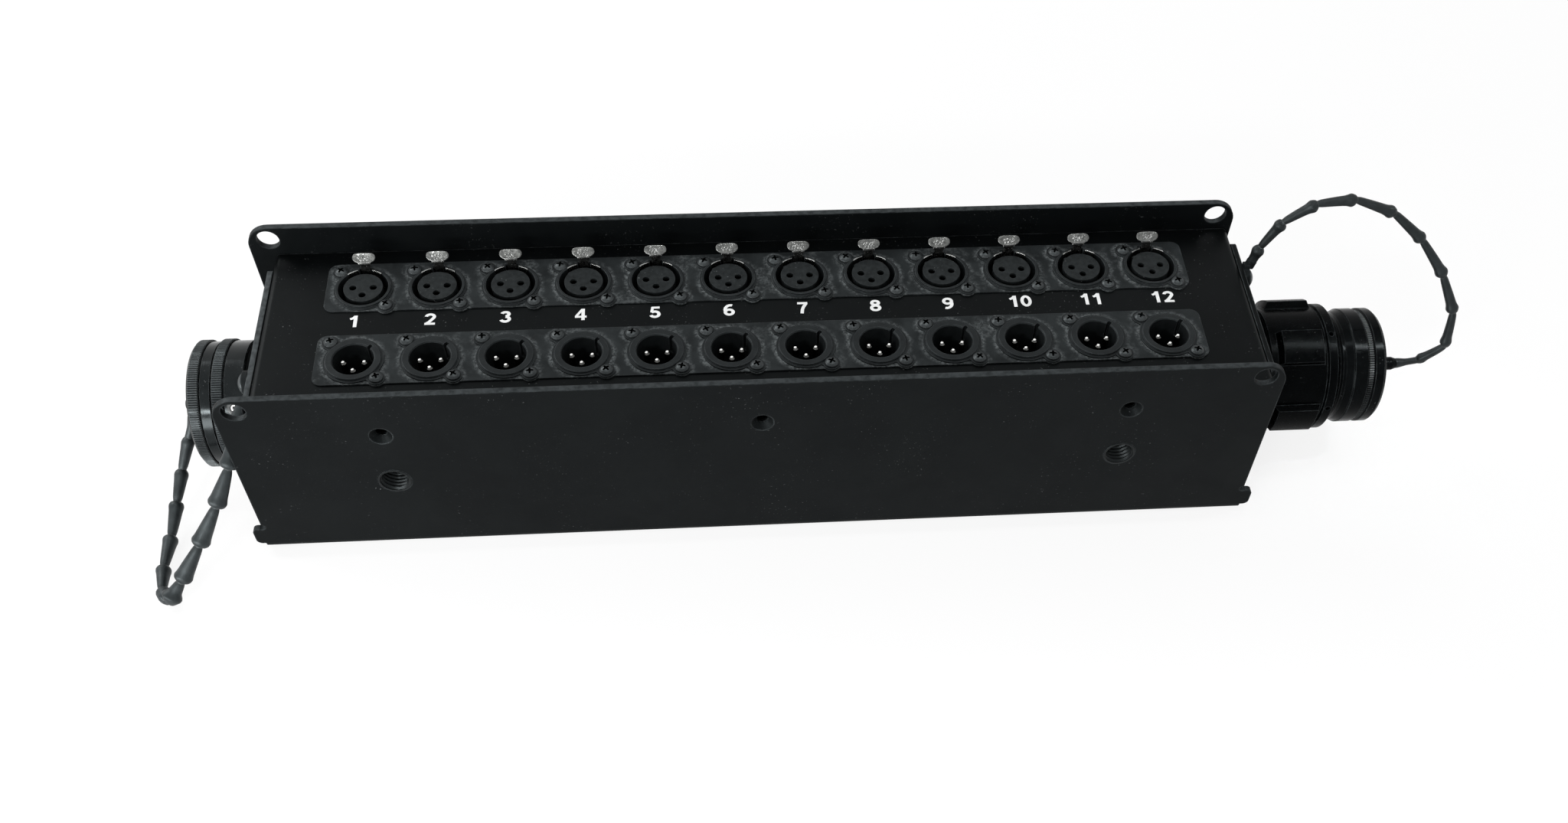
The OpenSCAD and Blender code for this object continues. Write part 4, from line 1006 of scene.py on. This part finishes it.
cross_line, quarter = [], CROSS
for _ in range(4):
    cross_line += quarter
    quarter = [(-y, x) for x, y in quarter]
count = len(cross_line)
head_verts, head_faces, pit_verts, pit_faces = [], [], [], []
for k in range(1, CHANNELS + 1):
    for row in (REAR_ROW, FRONT_ROW):
        for s in (-1, 1):
            cx, cy = channel_x(k) + s * SCREW_OFFSET, row - s * SCREW_OFFSET
            swing = math.radians(37 * k + row)
            spun = [(x * math.cos(swing) - y * math.sin(swing), x * math.sin(swing) + y * math.cos(swing))
                    for x, y in cross_line]
            rings = [[(cx + x, cy + y, dome(math.hypot(x, y))) for x, y in spun]]
            for r, z in HEAD_RIM:
                rings.append([(cx + x / math.hypot(x, y) * r, cy + y / math.hypot(x, y) * r, z)
                              for x, y in spun])
            add_rings(head_verts, head_faces, rings, order=(0, 3, 2, 1))
            rings = [[(cx + x * share, cy + y * share, dome(math.hypot(x, y)) - drop) for x, y in spun]
                     for share, drop in RECESS_STEPS]
            add_rings(pit_verts, pit_faces, rings, order=(1, 2, 3, 0))
            tip = len(pit_verts)
            pit_verts.append((cx, cy, HEAD_FOOT + RECESS_FLOOR))
            pit_faces += [(tip - count + (j + 1) % count, tip, tip - count + j) for j in range(count)]
heads = keep("socket_screw_heads", mesh_from("socket_screw_heads", head_verts, head_faces),
             finishes["black_screw"], "black_screw", 40.0)
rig.replaces(heads, "socket_screws")
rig.ride(heads, "chassis")
# The recesses take a near black finish as painted shade.
pits = keep("socket_screw_recesses", mesh_from("socket_screw_recesses", pit_verts, pit_faces),
            finishes["screw_recess"], "black_screw", 40.0)
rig.ride(pits, "chassis")


# Threaded inserts with their real thread, in place of the plain bores. The profile is radius and depth.
INSERT_PROFILE = ((5.9, 0.02), (6.25, 0.0), (6.58, 0.04), (6.7, 0.2), (6.7, 3.2), (8.2, 3.4), (8.2, 4.7),
                  (6.7, 4.9), (6.7, 11.9), (6.0, 12.0))
THREAD_PITCH = 1.75
THREAD_CORE = 5.12
THREAD_HEIGHT = 0.72
THREAD_FROM = 0.45
THREAD_TO = 11.8
THREAD_STEPS = 70
THREAD_SIDES = 64


def thread_radius(depth, turn):
    """The thread's radius at a depth and a share of a turn, widened at the mouth."""
    phase = (depth / THREAD_PITCH + turn) % 1.0
    tooth = min(max((abs(phase * 2 - 1) - 0.12) / 0.76, 0.0), 1.0)
    return THREAD_CORE + THREAD_HEIGHT * tooth + 0.5 * max(0.0, 1 - depth / 1.1)


bore = [[(r, depth)] * THREAD_SIDES for r, depth in INSERT_PROFILE]
for i in range(THREAD_STEPS + 1):
    depth = THREAD_TO - i * (THREAD_TO - THREAD_FROM) / THREAD_STEPS
    bore.append([(thread_radius(depth, j / THREAD_SIDES), depth) for j in range(THREAD_SIDES)])
verts, faces = [], []
for sx in (-1, 1):
    for sy in (-1, 1):
        add_rings(verts, faces, [[(sx * INSERT_X + r * cos, sy * (PLATE_FACE - depth), INSERT_Z + r * sin)
                                  for (r, depth), (cos, sin) in zip(ring, circle(THREAD_SIDES))]
                                 for ring in bore], loop=True, order=AS_IS if sy < 0 else TURNED_OVER)
threads = keep("insert_threads", mesh_from("insert_threads", verts, faces), finishes["insert_black"],
               "dark_steel", 35.0)
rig.replaces(threads, "threaded_inserts")
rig.ride(threads, "chassis")


# Floor and light.
FLOOR_HALF = 4.0
FLOOR_Z = -0.0002


def straight_rays(tree):
    """1 for rays that the picture shows, also mirrored or through glass, and 0 for those that only light."""
    rays = tree.nodes.new("ShaderNodeLightPath")
    found = rays.outputs["Is Camera Ray"]
    for kind in ("Is Glossy Ray", "Is Transmission Ray"):
        most = tree.nodes.new("ShaderNodeMath")
        most.operation = "MAXIMUM"
        tree.links.new(found, most.inputs[0])
        tree.links.new(rays.outputs[kind], most.inputs[1])
        found = most.outputs[0]
    return found


def mix_into(tree, output, factor, first, second):
    """Feeds an output with two shaders mixed by a factor."""
    mixer = tree.nodes.new("ShaderNodeMixShader")
    for socket, made in zip(mixer.inputs, (factor, first, second)):
        tree.links.new(made, socket)
    tree.links.new(mixer.outputs[0], output.inputs[0])


def backdrop(name, colour, share):
    """Pale floor. Part of its white comes from a glow that lights nothing, so it keeps a soft shadow."""
    s = Surface(name)
    tone = s.span(s.noise(0.25, 3.0), 0.3, 0.7)
    s.finish(s.mix(tone, colour, tuple(c * 0.985 for c in colour)), 0.75, None, 0.0, 0.1)
    glow = s.node("ShaderNodeEmission")
    glow.inputs["Strength"].default_value = 1.0
    mix_into(s.tree, s.output, s.times(straight_rays(s.tree), share), s.shader.outputs[0], glow.outputs[0])
    return s.material


floor_mesh = bpy.data.meshes.new("floor")
corners = [(x * FLOOR_HALF, y * FLOOR_HALF, FLOOR_Z) for x, y in ((-1, -1), (1, -1), (1, 1), (-1, 1))]
floor_mesh.from_pydata(corners, [], [(0, 1, 2, 3)])
floor = bpy.data.objects.new("floor", floor_mesh)
bpy.context.scene.collection.objects.link(floor)
floor_mesh.materials.append(backdrop("floor_white", (0.975, 0.98, 0.985), 0.84))
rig.stage(floor)

# The world lights the part dimly, and shows as white behind it and in reflections.
world = bpy.data.worlds.new("studio")
world.use_nodes = True
bpy.context.scene.world = world
tree = world.node_tree
tree.nodes.clear()
skies = []
for strength in (0.55, 1.0):
    sky = tree.nodes.new("ShaderNodeBackground")
    sky.inputs["Color"].default_value = (1.0, 1.0, 1.0, 1.0)
    sky.inputs["Strength"].default_value = strength
    skies.append(sky.outputs[0])
mix_into(tree, tree.nodes.new("ShaderNodeOutputWorld"), straight_rays(tree), *skies)


def lamp(name, place, aim, power, wide, high, spread=180.0):
    """A rectangular lamp: places and sizes in metres, power in watts, spread in degrees."""
    data = bpy.data.lights.new(name, "AREA")
    data.shape = "RECTANGLE"
    data.size = wide
    data.size_y = high
    data.energy = power
    data.spread = math.radians(spread)
    made = bpy.data.objects.new(name, data)
    bpy.context.scene.collection.objects.link(made)
    made.location = place
    made.rotation_euler = (Vector(aim) - Vector(place)).to_track_quat("-Z", "Y").to_euler()


lamp("window", (-1.25, 0.80, 1.10), (-0.05, 0.0, 0.05), 15.0, 1.0, 0.8)
lamp("fill", (-0.62, -0.60, 0.18), (-0.20, 0.0, 0.04), 8.5, 0.8, 0.24)
lamp("front_strip", (-0.64, -1.19, 0.80), (-0.1, 0.0, 0.05), 5.2, 0.25, 0.12)
lamp("ceiling_strip", (0.15, 0.03, 1.50), (0.15, 0.0, 0.05), 4.2, 0.9, 0.04)
lamp("cap_glint", (0.487, -0.070, 0.59), (0.258, 0.0, 0.0387), 0.014, 0.012, 0.16, 14.0)

bpy.context.view_layer.update()
with open("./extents.json", "w") as out:
    json.dump({"cad": [[float(v) for v in corner] for corner in cad_box],
               "visual": [[float(v) for v in corner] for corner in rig.bounds()]}, out)
